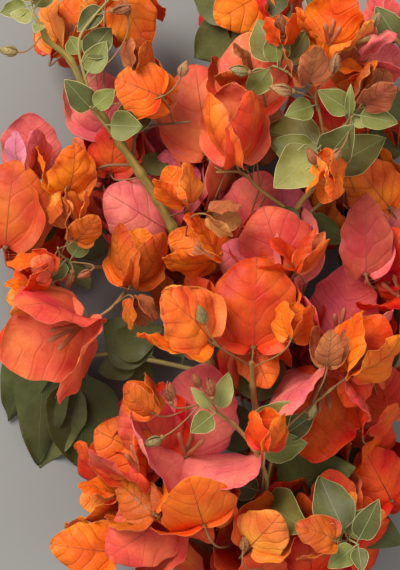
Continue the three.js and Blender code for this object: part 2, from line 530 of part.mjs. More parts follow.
// The three bracts of a bloom, each leaning as it can among its neighbours; one that finds no room
// is left out, as is a bud or a leaf
function openBracts(node, { seat, line, turn, length, lean, tubes, broad }) {
  const way = directions(line);
  const young = length < YOUNG;
  const swelling = KNOB_RADIUS * (young ? YOUNG_SHARE : 1);
  if (length < BUD) {
    const base = vector(seat).addScaledVector(way.line, -swelling * KNOB_DEPTH);
    const closed = bud({ base, along: way.line, out: way.upper, length, width: BUD_WIDTH });
    if (isClear(closed, node)) {
      put(node, closed);
    }
    return;
  }
  for (let k = 0; k < 3; k += 1) {
    const about = degrees(turn + 120 * k);
    const heart = broad && k === 0;
    const radial = way.upper.clone().multiplyScalar(Math.cos(about))
      .addScaledVector(way.third, Math.sin(about));
    const grown = fitBract(node, (leaning, size) => {
      const a = degrees(leaning + lean[k]);
      const along = way.line.clone().multiplyScalar(Math.cos(a)).addScaledVector(radial, Math.sin(a));
      const out = way.line.clone().multiplyScalar(-Math.sin(a)).addScaledVector(radial, Math.cos(a));
      return blade({
        base: vector(seat).addScaledVector(way.line, -swelling * KNOB_DEPTH)
          .addScaledVector(radial, swelling * ROOT_OUT),
        along, out, length: length * size, width: heart ? BROAD_WIDTH : BRACT_WIDTH,
        thickness: BRACT_THICKNESS, profile: BRACT_PROFILE, curl: BRACT_CURL, cup: BRACT_CUP,
        flare: BRACT_FLARE, lobe: heart ? BROAD_LOBE : BRACT_LOBE,
        round: young ? SMALL_ROUND : BLADE_ROUND, rings: young || seat[2] < BEHIND ? FEW_RINGS : BLADE_RINGS,
      });
    });
    if (grown) {
      put(node, grown);
    }
  }
  if (tubes) {
    openTubes(node, tubes, { seat, length, lean, turn, way });
  }
}

function fitBract(node, make) {
  for (const size of SIZES) {
    for (const leaning of LEANS) {
      const tried = make(leaning, size);
      if (isClear(tried, node)) {
        return tried;
      }
    }
  }
  return null;
}

// The flower tubes inside a bloom, each on the foot of a bract
function openTubes(node, count, { seat, length, lean, turn, way }) {
  for (let k = 0; k < count; k += 1) {
    const about = degrees(turn + 120 * k);
    const a = degrees(lean[k] * 0.4);
    const radial = way.upper.clone().multiplyScalar(Math.cos(about))
      .addScaledVector(way.third, Math.sin(about));
    const along = way.line.clone().multiplyScalar(Math.cos(a)).addScaledVector(radial, Math.sin(a));
    const from = vector(seat).addScaledVector(along, -KNOB_RADIUS * KNOB_DEPTH);
    const to = vector(seat).addScaledVector(along, length * TUBE_LENGTH).addScaledVector(radial, 1);
    const tube = taperedTube(new THREE.LineCurve3(from, to), TUBE_RADIUS, STALK_SIDES, 1);
    if (isClear(tube, node)) {
      put(node, tube);
    }
  }
}

// A leaf with its stalk, from a point of a stem to the leaf's tip
function growLeaf(node, start, tip, width = LEAF_WIDTH, rings = LEAF_RINGS) {
  const up = new THREE.Vector3(0, 0, 1);
  for (const lift of LIFTS) {
    const reach = tip.clone().addScaledVector(up, lift).sub(start);
    const length = reach.length();
    const along = reach.normalize();
    const out = up.clone().addScaledVector(along, -along.dot(up)).normalize();
    const leaf = blade({
      base: start, along, out, length, width, thickness: LEAF_THICKNESS, profile: LEAF_PROFILE,
      curl: LEAF_CURL, cup: LEAF_CUP, flare: -LEAF_CUP, lobe: 0, round: SMALL_ROUND, rings,
      stalk: LEAF_STALK,
    });
    if (isClear(leaf, node)) {
      put(node, leaf);
      return;
    }
  }
}

// A repeatable run of numbers from 0 to 1
function seeded(seed) {
  let state = seed;
  return () => {
    state = (state * 1664525 + 1013904223) % 4294967296;
    return state / 4294967296;
  };
}

// Further leaves by rule: they stand round the stem a golden angle apart, and one that would touch
// anything is left out
function growLeaves(name, node, [count, reach]) {
  const random = seeded(name.length * 7919 + count * 104729 + reach);
  const golden = degrees(137.5);
  for (let i = 0; i < count; i += 1) {
    const share = 0.15 + (0.8 * i) / Math.max(1, count - 1);
    const start = pointOn(name, share);
    const turn = golden * i + random() * 2;
    const size = reach * (0.8 + 0.35 * random());
    const low = -0.45 + 0.7 * random();
    const away = new THREE.Vector3(Math.cos(turn), Math.sin(turn), low);
    const tip = start.clone().addScaledVector(away, size);
    tip.z = Math.max(tip.z, FLOOR + REST_HEIGHT);
    growLeaf(node, start, tip, LEAF_WIDTH, PLAIN_LEAF_RINGS);
  }
}

// Boughs first, then stalks, then bracts and leaves, so that each one clears those before it
Object.entries(LIMBS).forEach(([name, limb]) => growStem(name, limb, false));
Object.entries(FORKS).forEach(([name, fork]) => growStem(name, fork, true));
Object.entries(SPRAYS).forEach(([name, spray]) => growStem(name, spray, false));

const opening = [];
Object.entries(BLOOMS).forEach(([name, bloom]) => {
  const joined = bloom.on[0] in BLOOMS || bloom.fused;
  const node = growStalk(name, bloom.on, bloom.seat, directions(bloom.line).line, joined, bloom.length);
  hues[node] = bloom.hue;
  opening.push([node, bloom]);
});
Object.entries(SPRAYS).forEach(([name, spray]) => {
  spray.young.forEach(([share, seat, line, length], i) => {
    const young = `${name}_young_${i}`;
    growStalk(young, [name, share], seat, directions(line).line, true, length);
    const bloom = { seat, line, length, turn: 30 + 50 * i, lean: [26, 24, 30] };
    opening.push([name, bloom]);
  });
});
opening.forEach(([node, bloom]) => openBracts(node, bloom));
Object.entries(SPRAYS).forEach(([name, spray]) => {
  spray.leaves.forEach(([share, tip, width]) => growLeaf(name, pointOn(name, share), vector(tip), width));
  growLeaves(name, name, spray.more);
});

// The least distance between two corners of a solid, or least height of one of its triangles
function finestDetail({ vertProperties, triVerts }) {
  const corners = [];
  for (let i = 0; i < vertProperties.length; i += 3) {
    corners.push(new THREE.Vector3().fromArray(vertProperties, i));
  }
  let least = Infinity;
  corners.forEach((a, i) => corners.slice(i + 1).forEach((b) => {
    least = Math.min(least, a.distanceTo(b));
  }));
  const triangle = new THREE.Triangle();
  for (let i = 0; i < triVerts.length; i += 3) {
    triangle.set(...[0, 1, 2].map((k) => corners[triVerts[i + k]]));
    const sides = [triangle.a.distanceTo(triangle.b), triangle.b.distanceTo(triangle.c),
      triangle.c.distanceTo(triangle.a)];
    least = Math.min(least, (2 * triangle.getArea()) / Math.max(...sides));
  }
  return least;
}

// The solids of a node fused into one, with the first of the fineness settings that leaves it whole
// and without slivers, or else the one that comes nearest to that
function fusedSolid(name) {
  const whole = wasm.Manifold.union(nodes[name]).asOriginal();
  let best = null;
  for (const finest of FINENESS) {
    const pieces = whole.simplify(finest).decompose();
    pieces.sort((a, b) => b.volume() - a.volume());
    const mesh = pieces[0].getMesh();
    const lost = 1 - pieces[0].volume() / whole.volume();
    const detail = lost > MOST_LOST ? -lost : finestDetail(mesh);
    if (!best || detail > best.detail) {
      best = { mesh, detail };
    }
    if (detail > LEAST_DETAIL) {
      break;
    }
  }
  if (best.detail < 0) {
    throw new Error(`${name} falls apart`);
  }
  return best.mesh;
}

// The named mesh of a node
function meshOf(name) {
  const mesh = fusedSolid(name);
  const geometry = new THREE.BufferGeometry();
  geometry.setAttribute('position', new THREE.BufferAttribute(new Float32Array(mesh.vertProperties), 3));
  geometry.setIndex(new THREE.BufferAttribute(new Uint32Array(mesh.triVerts), 1));
  geometry.computeVertexNormals();
  const kind = name in BLOOMS ? 'bract' : name in SPRAYS ? 'leaf' : 'stem';
  const color = COLOURS[hues[name] ?? kind];
  const material = new THREE.MeshStandardMaterial({ color, roughness: ROUGHNESS[kind], metalness: 0 });
  const made = new THREE.Mesh(geometry, material);
  made.name = name;
  return made;
}

const branch = new THREE.Group();
branch.name = 'bougainvillea_branch';
branch.position.set(-MIDDLE[0], -MIDDLE[1], -FLOOR);
Object.keys(nodes).forEach((name) => branch.add(meshOf(name)));

export default branch;
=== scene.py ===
"""A cut flowering branch of bougainvillea, dressed around its solids, laid out as an add-on.

Sizes in the tables are millimetres in the layout, whose resting surface is at a height of FLOOR, and
angles are degrees. The branch grows by the same rule as its solids do, and is carried on to veins,
margins and buds. A bract is one of the three coloured leaves of a bloom, and a blade is a bract or
a green leaf.
"""
import math

import bpy
import numpy as np
from mathutils.kdtree import KDTree
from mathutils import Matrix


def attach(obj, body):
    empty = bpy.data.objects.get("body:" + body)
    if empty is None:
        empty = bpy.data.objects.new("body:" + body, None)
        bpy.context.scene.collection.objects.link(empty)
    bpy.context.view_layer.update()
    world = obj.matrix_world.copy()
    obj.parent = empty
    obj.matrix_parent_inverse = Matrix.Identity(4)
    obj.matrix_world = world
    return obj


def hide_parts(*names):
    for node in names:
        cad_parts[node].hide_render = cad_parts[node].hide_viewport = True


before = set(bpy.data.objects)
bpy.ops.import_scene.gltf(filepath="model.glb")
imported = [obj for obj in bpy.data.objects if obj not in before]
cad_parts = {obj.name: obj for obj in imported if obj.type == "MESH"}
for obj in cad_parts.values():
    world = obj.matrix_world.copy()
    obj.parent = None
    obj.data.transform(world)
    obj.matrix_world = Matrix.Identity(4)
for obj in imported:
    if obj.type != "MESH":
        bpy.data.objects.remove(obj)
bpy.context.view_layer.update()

bl_info = {
    "name": "Bougainvillea branch",
    "version": (1, 0, 0),
    "blender": (4, 5, 0),
    "location": "3D view > Sidebar > Bougainvillea",
    "description": "Builds a cut flowering bougainvillea branch around its solids",
    "category": "Add Mesh",
}

# From the layout to the frame
MM = 0.001
FLOOR = 9.0  # height of the resting surface in the layout
MIDDLE = (-3.4, -9.9)  # of the whole branch in the layout
TO_FRAME = np.array([-MIDDLE[0], -MIDDLE[1], -FLOOR])
UP = np.array([0, 0, 1.0])

# How a bract is shaped, as in the solids. Widths and lobes are shares of its length.
BRACT_WIDTH = 0.9
BRACT_CUP = 20  # how far it bends from its midrib to its margin
BRACT_FLARE = 75  # how far its foot bends the other way
BRACT_CURL = 50  # how far it bows from foot to tip
BRACT_LOBE = 0.1  # how far the corners of its foot reach back
BROAD_WIDTH = 1.15  # of a heart-shaped one
BROAD_LOBE = 0.42
BRACT_PROFILE = (0.42, 0.66)  # how its outline swells and narrows, rounder than the solids'
FACING = 0.75  # a bract whose back is turned up by this share shows its whole foot
FACING_FLARE = -8
FACING_LOBE = 0.14
ROOT_SWELL = 1.6  # how much thicker its foot is than its middle
KNOB_RADIUS = 2.2  # of the swelling that a bloom's bracts grow from
KNOB_DEPTH = 0.4  # share of it that the feet sink in
ROOT_OUT = 0.42  # share of it that the feet stand from the middle
THIRDS = 120  # degrees from one bract to the next
USUAL_TURN = 60  # of a bloom's first bract from its upper side

# How bracts differ in the open: width, bend at the margin, and outline
WIDTH_SHARES = (0.95, 1.08)
CUP_MORE = (-6, 10)
BRACT_SWAY = 0.05
OTHER_SHADE = 0.35  # share of bracts that take a shade of their own
# How far a bract's skin puffs up between its veins and how far its margins wave, in shares of its
# length: young ones and the orange and red ones are crinkled
CRINKLED_HUES = ("orange", "russet", "scarlet")
CRINKLED_QUILT = 0.032
CRINKLED_WAVE = 0.05
SMOOTH_QUILT = 0.015
SMOOTH_WAVE = 0.028
CRUMPLE = 0.4  # uneven rise of the skin, as a share of the puff
ROLL = 0.02  # slow roll of the whole face, as a share of the length

# Young blooms and buds, by length
YOUNG = 20
YOUNG_SHARE = 0.8  # of the usual stalk and swelling
YOUNG_LEAN = (26, 24, 30)
YOUNG_TURN = (30, 50)  # of a spray's first bloom, and how much more for each that follows
YOUNG_HUES = ("russet", "orange", "coral")
BUD = 12
BUD_WIDTH = 0.78  # of each of a bud's three scales, which are shaped as bracts are
BUD_PROFILE = (0.55, 0.95)
BUD_RIB = 0.045
BUD_RIBS = 2.5  # from a scale's middle to its margin
BUD_RIB_ROUNDNESS = 0.7
BUD_CURL = 66
BUD_CUP = 66
BUD_LOBE = 0.06
BUD_THICKNESS = 0.3
BUD_OUT = 0.3  # mm that a scale's foot stands from the middle
BUD_TURN = (0, 30)  # how scales differ: turn about the line, lean and length
BUD_LEAN = (-3, 2)
BUD_SIZE = (0.88, 1)
BUD_SWAY = 0.04
BUD_DRIFT = 6  # largest shift of a scale's pattern

# How a leaf is shaped, as in the solids
LEAF_WIDTH = 0.6
LEAF_PROFILE = (0.52, 0.98)  # a little more pointed than the solids'
LEAF_CURL = 16
LEAF_CURLS = (0.6, 2.4)  # shares of the curl that leaves have
LEAF_CUP = -22
LEAF_CUPS = (0.5, 2.2)
LEAF_QUILT = -0.006  # its skin sinks a little between its veins
LEAF_WAVE = 0.03
LEAF_SWAY = 0.03
LEAF_STALK = 0.16
LEAF_STALK_RADIUS = 0.42
STALK_FLATNESS = 0.8  # of a leaf's stalk where it is part of the blade
SHADED = 50  # leaves whose tips are lower than this in the layout lie in the shade, and get darker paint, a painted shade
SUNLIT = 72  # and those whose tips are higher than this get the palest paint, a painted light
FIRST_LEAF = 900  # where the leaves' random numbers start

# How leaves placed by rule grow, as in the solids
LEAF_TURN = 137.5  # from one leaf to the next
LEAF_SPAN = (0.15, 0.8)  # of a stem: where the first leaf is, and how far on the last one
LEAF_SIZES = (0.8, 0.35)  # least share of the spray's reach, and how much more
LEAF_DROOPS = (-0.45, 0.7)  # lowest rise for its length, and how much more
DRAW_STEPS = (7919, 104729)  # spread the first numbers of the sprays' draws
DRAW_GROWTH = 1664525
DRAW_SHIFT = 1013904223
DRAW_RANGE = 2 ** 32

# How stems are led, as in the solids
GAP = 0.4  # mm that a spray's solid is cut from its bough
ROOTED = 0.9  # mm, least length of bare stem before its first leaf
LEAST_STEPS = 3  # faces along the shortest stem
MOST_HIDDEN = 0.6  # largest share of a spray's stem that is hidden in its bough
LAST_SHARE = 0.96  # furthest place on a stem for what grows from it
LIMB_STEP = 13  # mm, length of a stem's faces
STALK_SHARE = 0.4  # how long it bends into its bloom's line, for its reach
STALK_LEAD = 0.3  # and how long it heads straight for its bloom
SLENDER = 0.6  # a stalk is this much finer than its solid
STALK_RADIUS = (0.62, 0.95)  # mm, at its foot and under the bracts
REST_HEIGHT = 0.31  # mm, of the middle of a blade that lies flat
# A solid bract that would touch a neighbour leans in or out by the first of these that clears it,
# or else is smaller, and a leaf's tip is raised or lowered
LEANS = (0, 6, -6, 12, -12, 18, -18, 25, -25, 33, -33, 42)
SIZES = (1, 0.86, 0.72, 0.6, 0.5)
LIFTS = (0, 5, -5, 10, -10, 16, -16)
FOUND = 1.1  # a blade's tip that lies this near to a solid's corner is the one that grew there

# A closed flower: its length as a share of the bract's, its lean as a share of the bract's, how far
# it bows, and its radii in mm at some shares of its length
TUBE_LENGTH = 0.42
TUBE_LEAN = 0.4
TUBE_BOW = 0.4
TUBE_OUT = 1  # mm that its mouth stands from the bloom's line
TUBE_SHARES = (0, 0.2, 0.55, 0.86, 1)
TUBE_RADII = (0.7, 1.15, 0.85, 1.2, 0.5)
TUBE_RIBS = 5
TUBE_RIB = 0.14
TUBE_RINGS = 10

# How finely things are drawn: points along and around a blade, and round a tube
FRONT_GRID = (34, 36)
SMALL_GRID = (18, 26)
BEHIND_GRID = (18, 24)
BUD_GRID = (15, 32)
LEAF_GRID = (20, 28)
EVEN_SHARE = 0.65  # of the points along a blade; the rest crowd to its ends
VEIN_SIDES = 4
MARGIN_SIDES = 3
STALK_SIDES = 8
KNOB_SIDES = 10
FLOWER_SIDES = 15
BOUGH_SIDES = 18
TWIG_SIDES = 12
TWIG_RADIUS = 1.2
STALK_STEP = 2  # mm between the rings of points on a stalk
BARK_STEP = 1.2  # and on a bough
LEAST_RINGS = 6
LEAST_BOUGH_RINGS = 8
# The swelling under a bloom: rings of points, how near its ends they reach, and its share of the
# solid's radius
KNOB_RINGS = 7
KNOB_END = 0.9
KNOB_SHARE = 0.7
# How far the closed ends of any tube stand out, as shares of its radius, and how steep it may start
# for its sides to be measured from the way up
TUBE_START = 0.3
TUBE_END = 0.5
STEEP = 0.9
LEAST_BEND = 1e-3  # a blade's margin bends at least this far, so that the form can be worked out

# Midribs and margins: shares of the sizes that a user may change
SMALL_MIDRIB = 0.7
# A bract's margin line is a painted highlight
BRACT_MARGIN = 0.5
BRACT_TAPER = 0.25
LEAF_MIDRIB = 0.7
LEAF_TAPER = 0.3
LEAF_MARGIN = 1.1
MARGIN_START = 3  # point where a leaf's margin leaves its stalk

# Side veins, on a blade's flattened form and in its relief
VEIN_PAIRS = 4.2
VEIN_SLOPE = 0.65  # how far a side vein runs forward for its way across
VEIN_ARCH = 0.8  # and how much it bends forward, with both in shares of the blade's length
VEIN_STRAY = 0.03  # and how far one lies from its even place
FLAT_MIDRIB = 0.1  # share of the length beside the midrib that doesn't puff
PUFF_ROUNDNESS = 0.6
RELIEF_START = 8  # a blade's relief is whole from its length over this number on
MARGIN_WAVES = (1.4, 2.6)  # along each margin
OUTLINE_WAVES = (2.2, 4.5)
BLADE = 35.0  # mm, length of a usual blade, for sizes on its flattened form
VEIN_LINE = 0.42  # mm; the real ones are a third of this, too fine to show
VEIN_NET = 2.6  # mm, size of the net's meshes; the real ones are a third of this
NET_LINE = 0.16  # share of a mesh that its vein takes
FURROW = 1.2  # mm from a side vein to where the skin is level again
PUFF = 0.4  # mm that the skin rises between its veins, of which each kind has its share
CRINKLED_PUFF = 0.5
SMOOTH_PUFF = 0.34
LEAF_PUFF = 0.1

# How strongly the veins' colour shows in each part of a blade's pattern, and how that wanders
SIDE_VEIN_SHARE = 0.8
NET_SHARE = 0.55
VEINS_SHARE = 0.4  # along the side veins and the net together
# Painted shade: the veins' colour darkens the furrow beside each side vein
FURROW_SHADE_SHARE = 0.25
VEINS_DEEP = 0.35  # how deep the veins lie, for a furrow's depth
PATCH = 9.0  # mm, size of the soft patches of colour
PATCH_RANGE = (0.35, 0.7)
PATCH_SHARE = 0.5
WANDER = 16.0  # mm, size of the areas where the hue is shifted
WANDER_RANGE = (0.3, 0.7)
HUE_WANDER = 0.01
VALUE_WANDER = (0.9, 1.12)
SAME_HUE = 0.5  # what leaves a hue as it is

# How light meets grown tissue
TISSUE_IOR = 1.45  # of leaf and bract tissue, which is mostly water and cellulose
SKIN_SHINE = 0.2  # a thin skin's share of the usual gloss
SCATTER = (1.0, 0.45, 0.25)  # red light runs furthest inside a blade
SCATTER_DEPTH = 1.2  # mm
LEAF_GLOW = 0.15

# Bark: how it stands out, and its streaks
BARK_ROUGHNESS = 0.8
BARK_RELIEF = 0.15  # mm
BARK_BUMP = 0.6
STREAK = 1.6  # mm, width of the streaks
STREAK_STRETCH = 0.12  # width for length
STREAK_RANGE = (0.4, 0.62)
STREAK_SHARE = 0.8
BARK_RIDGES = ((5, 0.35, 0.035), (9, -0.2, 0.025))  # number round a bough, twist and height
BARK_WARTS = (1.9, 3, 0.04)  # how close they lie along and around, and their height
FIRST_KNOT = 0.08  # share of a bough
KNOT_SPACE = 14  # mm between knots
KNOT_LEAST = 20  # mm, least length of a bough for working out their number
KNOT_SWELL = 0.28
KNOT_REACH = 1.1
FOOT_KNOTS = (20, 42, 60)  # mm from the cut foot
FOOT_SHARE = 0.8  # of the stem's radius, for the size of its bark's relief

# The stage, in metres, and the camera, in mm
FLOOR_SIZE = 6
FLOOR_ROUGHNESS = 0.9
SENSOR = 36
CAMERA_DISTANCE = 1200  # from the height of most blooms in front
CAMERA_RANGE = 20  # metres
REFERENCE_HEIGHT = 60  # of those, in the layout
PICTURE_HEIGHT = 570
PIXEL = 0.42  # mm of the branch in a pixel of the picture, at that height
SKY_COLOUR = "#eef1f4"
SKY_STRENGTH = 0.64
# Each lamp's name, place, size and power
LAMPS = [
    ("window", (-0.9, 1.0, 1.5), 1.0, 50),
    ("fill", (1.2, -0.6, 1.2), 1.6, 5),
]


def bough(stem, share, radii, *points):
    """A row for a stem: the one it starts on and the share of its length, its radii, its points"""
    return dict(on=(stem, share), radii=radii, points=points)


def flower(stem, share, seat, line, length, lean, hue, **more):
    """A row for a bloom: the stem that its stalk leaves and the share of its length, where its
    bracts meet, its heading and rise, its bracts' length, how far each leans out, and its hue"""
    return dict(on=(stem, share), seat=seat, line=line, length=length, lean=lean, hue=hue, **more)


def shoot(stem, share, radii, points, leaves, young=(), more=(0, 0)):
    """A row for a leafy spray: its stem as for a bough, its leaves (share, tip and width where it
    isn't the usual one), its young blooms (share, seat, line and length), and how many leaves are
    placed by rule and how far they reach"""
    return dict(on=(stem, share), radii=radii, points=points, leaves=leaves, young=young, more=more)


# The tables that follow are the solids' own, up to the sprays, but for a bloom's roll
LIMBS = {
    "main_stem": bough(None, 0, (3.3, 2.5), (19, -153, 12.3), (19, -140, 12.3), (22, -112, 18),
        (26, -88, 26)),
    "lower_shoot": bough("main_stem", 0.74, (1.6, 0.8), (26, -92, 46), (27.7, -82, 60), (23, -69, 67),
        (15, -59, 71), (9.5, -54.6, 73)),
    "centre_bough": bough("main_stem", 0.94, (1.9, 1.1), (25, -62, 44), (22.3, -44, 60), (21.4, -32, 68)),
    "left_bough_low": bough("main_stem", 0.88, (2.3, 1.8), (16, -62, 34), (4.2, -36.5, 36), (2, -6.3, 38),
        (-9.7, 22, 43)),
    "left_bough_high": bough("left_bough_low", 1, (1.7, 0.8), (-17.6, 35.7, 50), (-31.5, 56.7, 58),
        (-48.3, 82, 66), (-54.6, 94.5, 69), (-64, 102.5, 71), (-66.4, 109, 72)),
    "right_shoot_low": bough("main_stem", 0.82, (1.9, 1.4), (36, -60, 28), (37.8, -40, 28), (42, -6, 30),
        (41.2, 22, 40)),
    "right_shoot_high": bough("right_shoot_low", 1, (1.35, 0.8), (42, 33.6, 47), (47, 40, 53),
        (51.2, 46.2, 59), (54, 55, 66), (60, 66.4, 76)),
    "outer_bough_low": bough("main_stem", 0.6, (2, 1.6), (61, -98, 24), (80, -57, 26), (85, -6, 28),
        (86, 24, 29)),
    "outer_bough_high": bough("outer_bough_low", 1, (1.5, 0.9), (90, 60, 34), (90, 92, 46), (80, 105, 55),
        (65, 101.6, 59), (52.5, 98.7, 60)),
    "lower_left_bough": bough("main_stem", 0.5, (1.8, 0.9), (6, -115, 21), (-8.4, -105, 24),
        (-19, -90, 30), (-25, -76, 36), (-27, -62, 38)),
    "left_twig": bough("left_bough_low", 0.9, (1, 0.7), (-16, 11, 42), (-39, 7.6, 44), (-59.6, 9.7, 47),
        (-75, 18, 38), (-85, 36, 34)),
}

FORKS = {
    "tan_twig": bough("lower_shoot", 0.42, (0.8, 0.55), (31.5, -68.5, 66), (36.5, -58.8, 71),
        (55.9, -42, 76)),
    "top_shoot": bough("right_shoot_high", 0.7, (0.75, 0.5), (50.8, 67, 69), (47, 78.5, 72),
        (35.7, 89, 74)),
    "centre_twig": bough("right_shoot_high", 0.2, (0.95, 0.6), (26, 40, 51), (16.8, 47.5, 56),
        (7, 47.5, 57)),
    "right_fork_twig": bough("right_shoot_high", 0.14, (0.9, 0.6), (58.8, 39.9, 46), (77.7, 42, 44)),
    "high_twig": bough("outer_bough_high", 0.96, (0.8, 0.6), (38, 109, 52), (24, 117, 48)),
    "brown_twig_right": bough("left_bough_high", 0.38, (0.75, 0.5), (-26, 65, 52), (-8.4, 68.5, 54),
        (-4, 69, 55)),
    "brown_twig_left": bough("left_bough_high", 0.36, (0.75, 0.5), (-42, 50, 46), (-50, 44, 44)),
    "big_left_twig": bough("left_twig", 0.22, (0.8, 0.6), (-31, -1.3, 44), (-38, -10, 47),
        (-44, -14, 49)),
    "left_low_twig": bough("lower_left_bough", 0.34, (1, 0.7), (-24, -110, 28), (-38, -109, 34)),
    "bottom_right_twig": bough("outer_bough_low", 0.14, (0.8, 0.5), (66, -112, 44), (60, -108, 62)),
}

BLOOMS = {
    "tulip": flower("centre_twig", 0.7, (15.1, 52.5, 68), (95, 22), 35, (14, 16, 14), "coral", turn=-30,
        roll=84),
    "heart": flower("centre_bough", 0.98, (22.3, -25, 66), (88, -20), 38.5, (20, 24, 26), "coral",
        turn=0),
    "blush": flower("right_shoot_low", 0.7, (33, -4, 44), (102, 6), 40, (24, 22, 24), "rose"),
    "plum": flower("outer_bough_low", 0.55, (59, -22, 46), (80, 34), 33, (24, 38, 38), "plum", turn=180),
    "salmon_right": flower("outer_bough_low", 0.85, (70, 5.5, 54), (90, -24), 35, (20, 28, 28), "rose",
        turn=0),
    "scarlet_edge": flower("outer_bough_low", 0.72, (84, -4, 46), (125, 24), 26, (22, 35, 35), "scarlet",
        turn=180),
    "ember_behind": flower("right_fork_twig", 0.6, (62, 20, 27), (84, 4), 29, (34, 24, 34), "russet",
        turn=66),
    "marigold": flower("tan_twig", 0.96, (63, -34.9, 80), (58, 10), 28, (22, 22, 22), "orange"),
    "crimson_cup": flower("right_shoot_low", 0.42, (52, -39, 56), (262, 26), 38, (22, 34, 34), "scarlet",
        turn=180),
    "rose_centre": flower("lower_left_bough", 0.86, (-5.9, -71.4, 58), (75, 45), 41, (38, 46, 46), "rose",
        turn=180),
    "folded_centre": flower("lower_shoot", 0.36, (27, -67, 82), (85, 5), 18, (22, 22, 22), "orange",
        fused=True),
    "coin": flower("brown_twig_right", 0.8, (-17.6, 79.4, 64), (158, -24), 20, (20, 50, 50), "orange",
        turn=0, broad=True, fused=True),
    "crisp_small": flower("left_bough_high", 0.12, (-6.3, 35.3, 64), (118, 12), 18, (24, 24, 24),
        "orange", fused=True),
    "centre_pair": flower("centre_bough", 0.95, (38, -21, 78), (80, -20), 16, (24, 24, 24), "orange",
        fused=True),
    "copper_young": flower("tan_twig", 0.8, (52.5, -32, 86), (85, 5), 17, (22, 22, 22), "russet", turn=0,
        fused=True),
    "flame_left": flower("lower_left_bough", 0.55, (-36, -90, 46), (190, 5), 18, (24, 24, 24), "orange",
        fused=True),
    "crinkle_low_right": flower("bottom_right_twig", 0.6, (64, -104, 46), (58, 5), 18, (24, 24, 24),
        "orange", fused=True),
    "coral_low_left": flower("lower_left_bough", 0.84, (-24.4, -78, 60), (112, 30), 31, (24, 34, 34),
        "coral", turn=180),
    "russet": flower("lower_left_bough", 0.66, (-20, -95, 66), (140, -28), 26, (20, 34, 34), "russet",
        turn=0),
    "pumpkin": flower("main_stem", 0.68, (1.3, -98.7, 72), (106, -24), 28, (20, 44, 44), "orange", turn=0,
        broad=True),
    "coral_bottom": flower("left_low_twig", 0.25, (-11.8, -98, 42), (213, -6), 35, (20, 30, 30), "coral",
        turn=0),
    "amber_bottom_left": flower("left_low_twig", 0.8, (-37.8, -113, 50), (172, -22), 27, (22, 32, 32),
        "orange", turn=0),
    "big_left": flower("big_left_twig", 0.98, (-50.4, -17.2, 62), (208, 25), 38, (38, 40, 24), "coral",
        turn=-70),
    "crinkle_left": flower("brown_twig_left", 0.96, (-57, 39, 52), (92, 5), 24, (22, 24, 24), "orange",
        turn=30),
    "coral_left_edge": flower("left_twig", 0.84, (-82, 17, 54), (84, -20), 38, (20, 26, 26), "coral",
        turn=0),
    "mauve_left": flower("left_twig", 0.96, (-73, 48, 42), (88, 32), 27, (24, 36, 36), "mauve", turn=180),
    "crimson_left": flower("left_twig", 0.7, (-64, 4, 24), (115, -8), 26, (22, 30, 30), "scarlet",
        turn=0),
    "magenta_mid": flower("left_bough_low", 0.95, (-14, 22, 30), (122, -6), 39, (22, 28, 28), "plum",
        turn=20),
    "salmon_stem_low": flower("brown_twig_left", 0.6, (-40.7, 46, 20), (88, 6), 25, (38, 24, 38),
        "coral"),
    "salmon_stem_high": flower("salmon_stem_low", 0.3, (-44, 68, 26), (92, 10), 26, (30, 22, 30),
        "coral"),
    "coral_top": flower("centre_twig", 0.5, (22, 74, 56), (92, -18), 34, (20, 28, 28), "coral", turn=0),
    "coral_behind_tulip": flower("centre_twig", 0.9, (3, 57, 38), (98, -16), 40, (20, 26, 26), "coral",
        turn=0),
    "orange_top": flower("high_twig", 0.9, (27, 124, 44), (212, -20), 27, (20, 32, 32), "orange", turn=0),
    "orange_top_right": flower("outer_bough_high", 0.92, (54, 101, 68), (80, 36), 26, (24, 38, 38),
        "orange", turn=180),
    "vermilion_top_left": flower("left_bough_high", 0.8, (-55.9, 101, 44), (85, -4), 28, (28, 22, 28),
        "orange"),
    "orange_upper": flower("left_bough_high", 0.58, (-34, 122, 46), (300, -22), 25, (20, 28, 28),
        "orange", turn=0),
    "vivid_crinkled": flower("centre_bough", 0.99, (2.5, -22.3, 80), (148, 0), 30, (26, 22, 24), "orange",
        turn=25),
    "orange_mid_left": flower("left_bough_low", 0.98, (5, 12, 58), (152, 4), 23, (28, 22, 28), "orange"),
    "orange_pair_mid": flower("big_left_twig", 0.45, (-29, 1, 56), (78, -4), 27, (22, 22, 22), "russet"),
    "orange_low_right": flower("main_stem", 0.58, (22, -108, 64), (50, 15), 24, (22, 26, 24), "orange",
        turn=0),
    "coral_low": flower("main_stem", 0.4, (27, -125, 44), (97, -8), 33, (22, 32, 32), "coral", turn=0),
    "scarlet_bottom": flower("main_stem", 0.3, (47, -136, 38), (90, 6), 31, (30, 24, 30), "scarlet"),
    "crimson_right_edge": flower("outer_bough_low", 0.3, (82, -92, 27), (118, -8), 28, (22, 32, 32),
        "scarlet", turn=0),
    "coral_right_back": flower("outer_bough_high", 0.25, (58, 60, 25), (98, -6), 33, (22, 32, 32),
        "coral", turn=0),
}

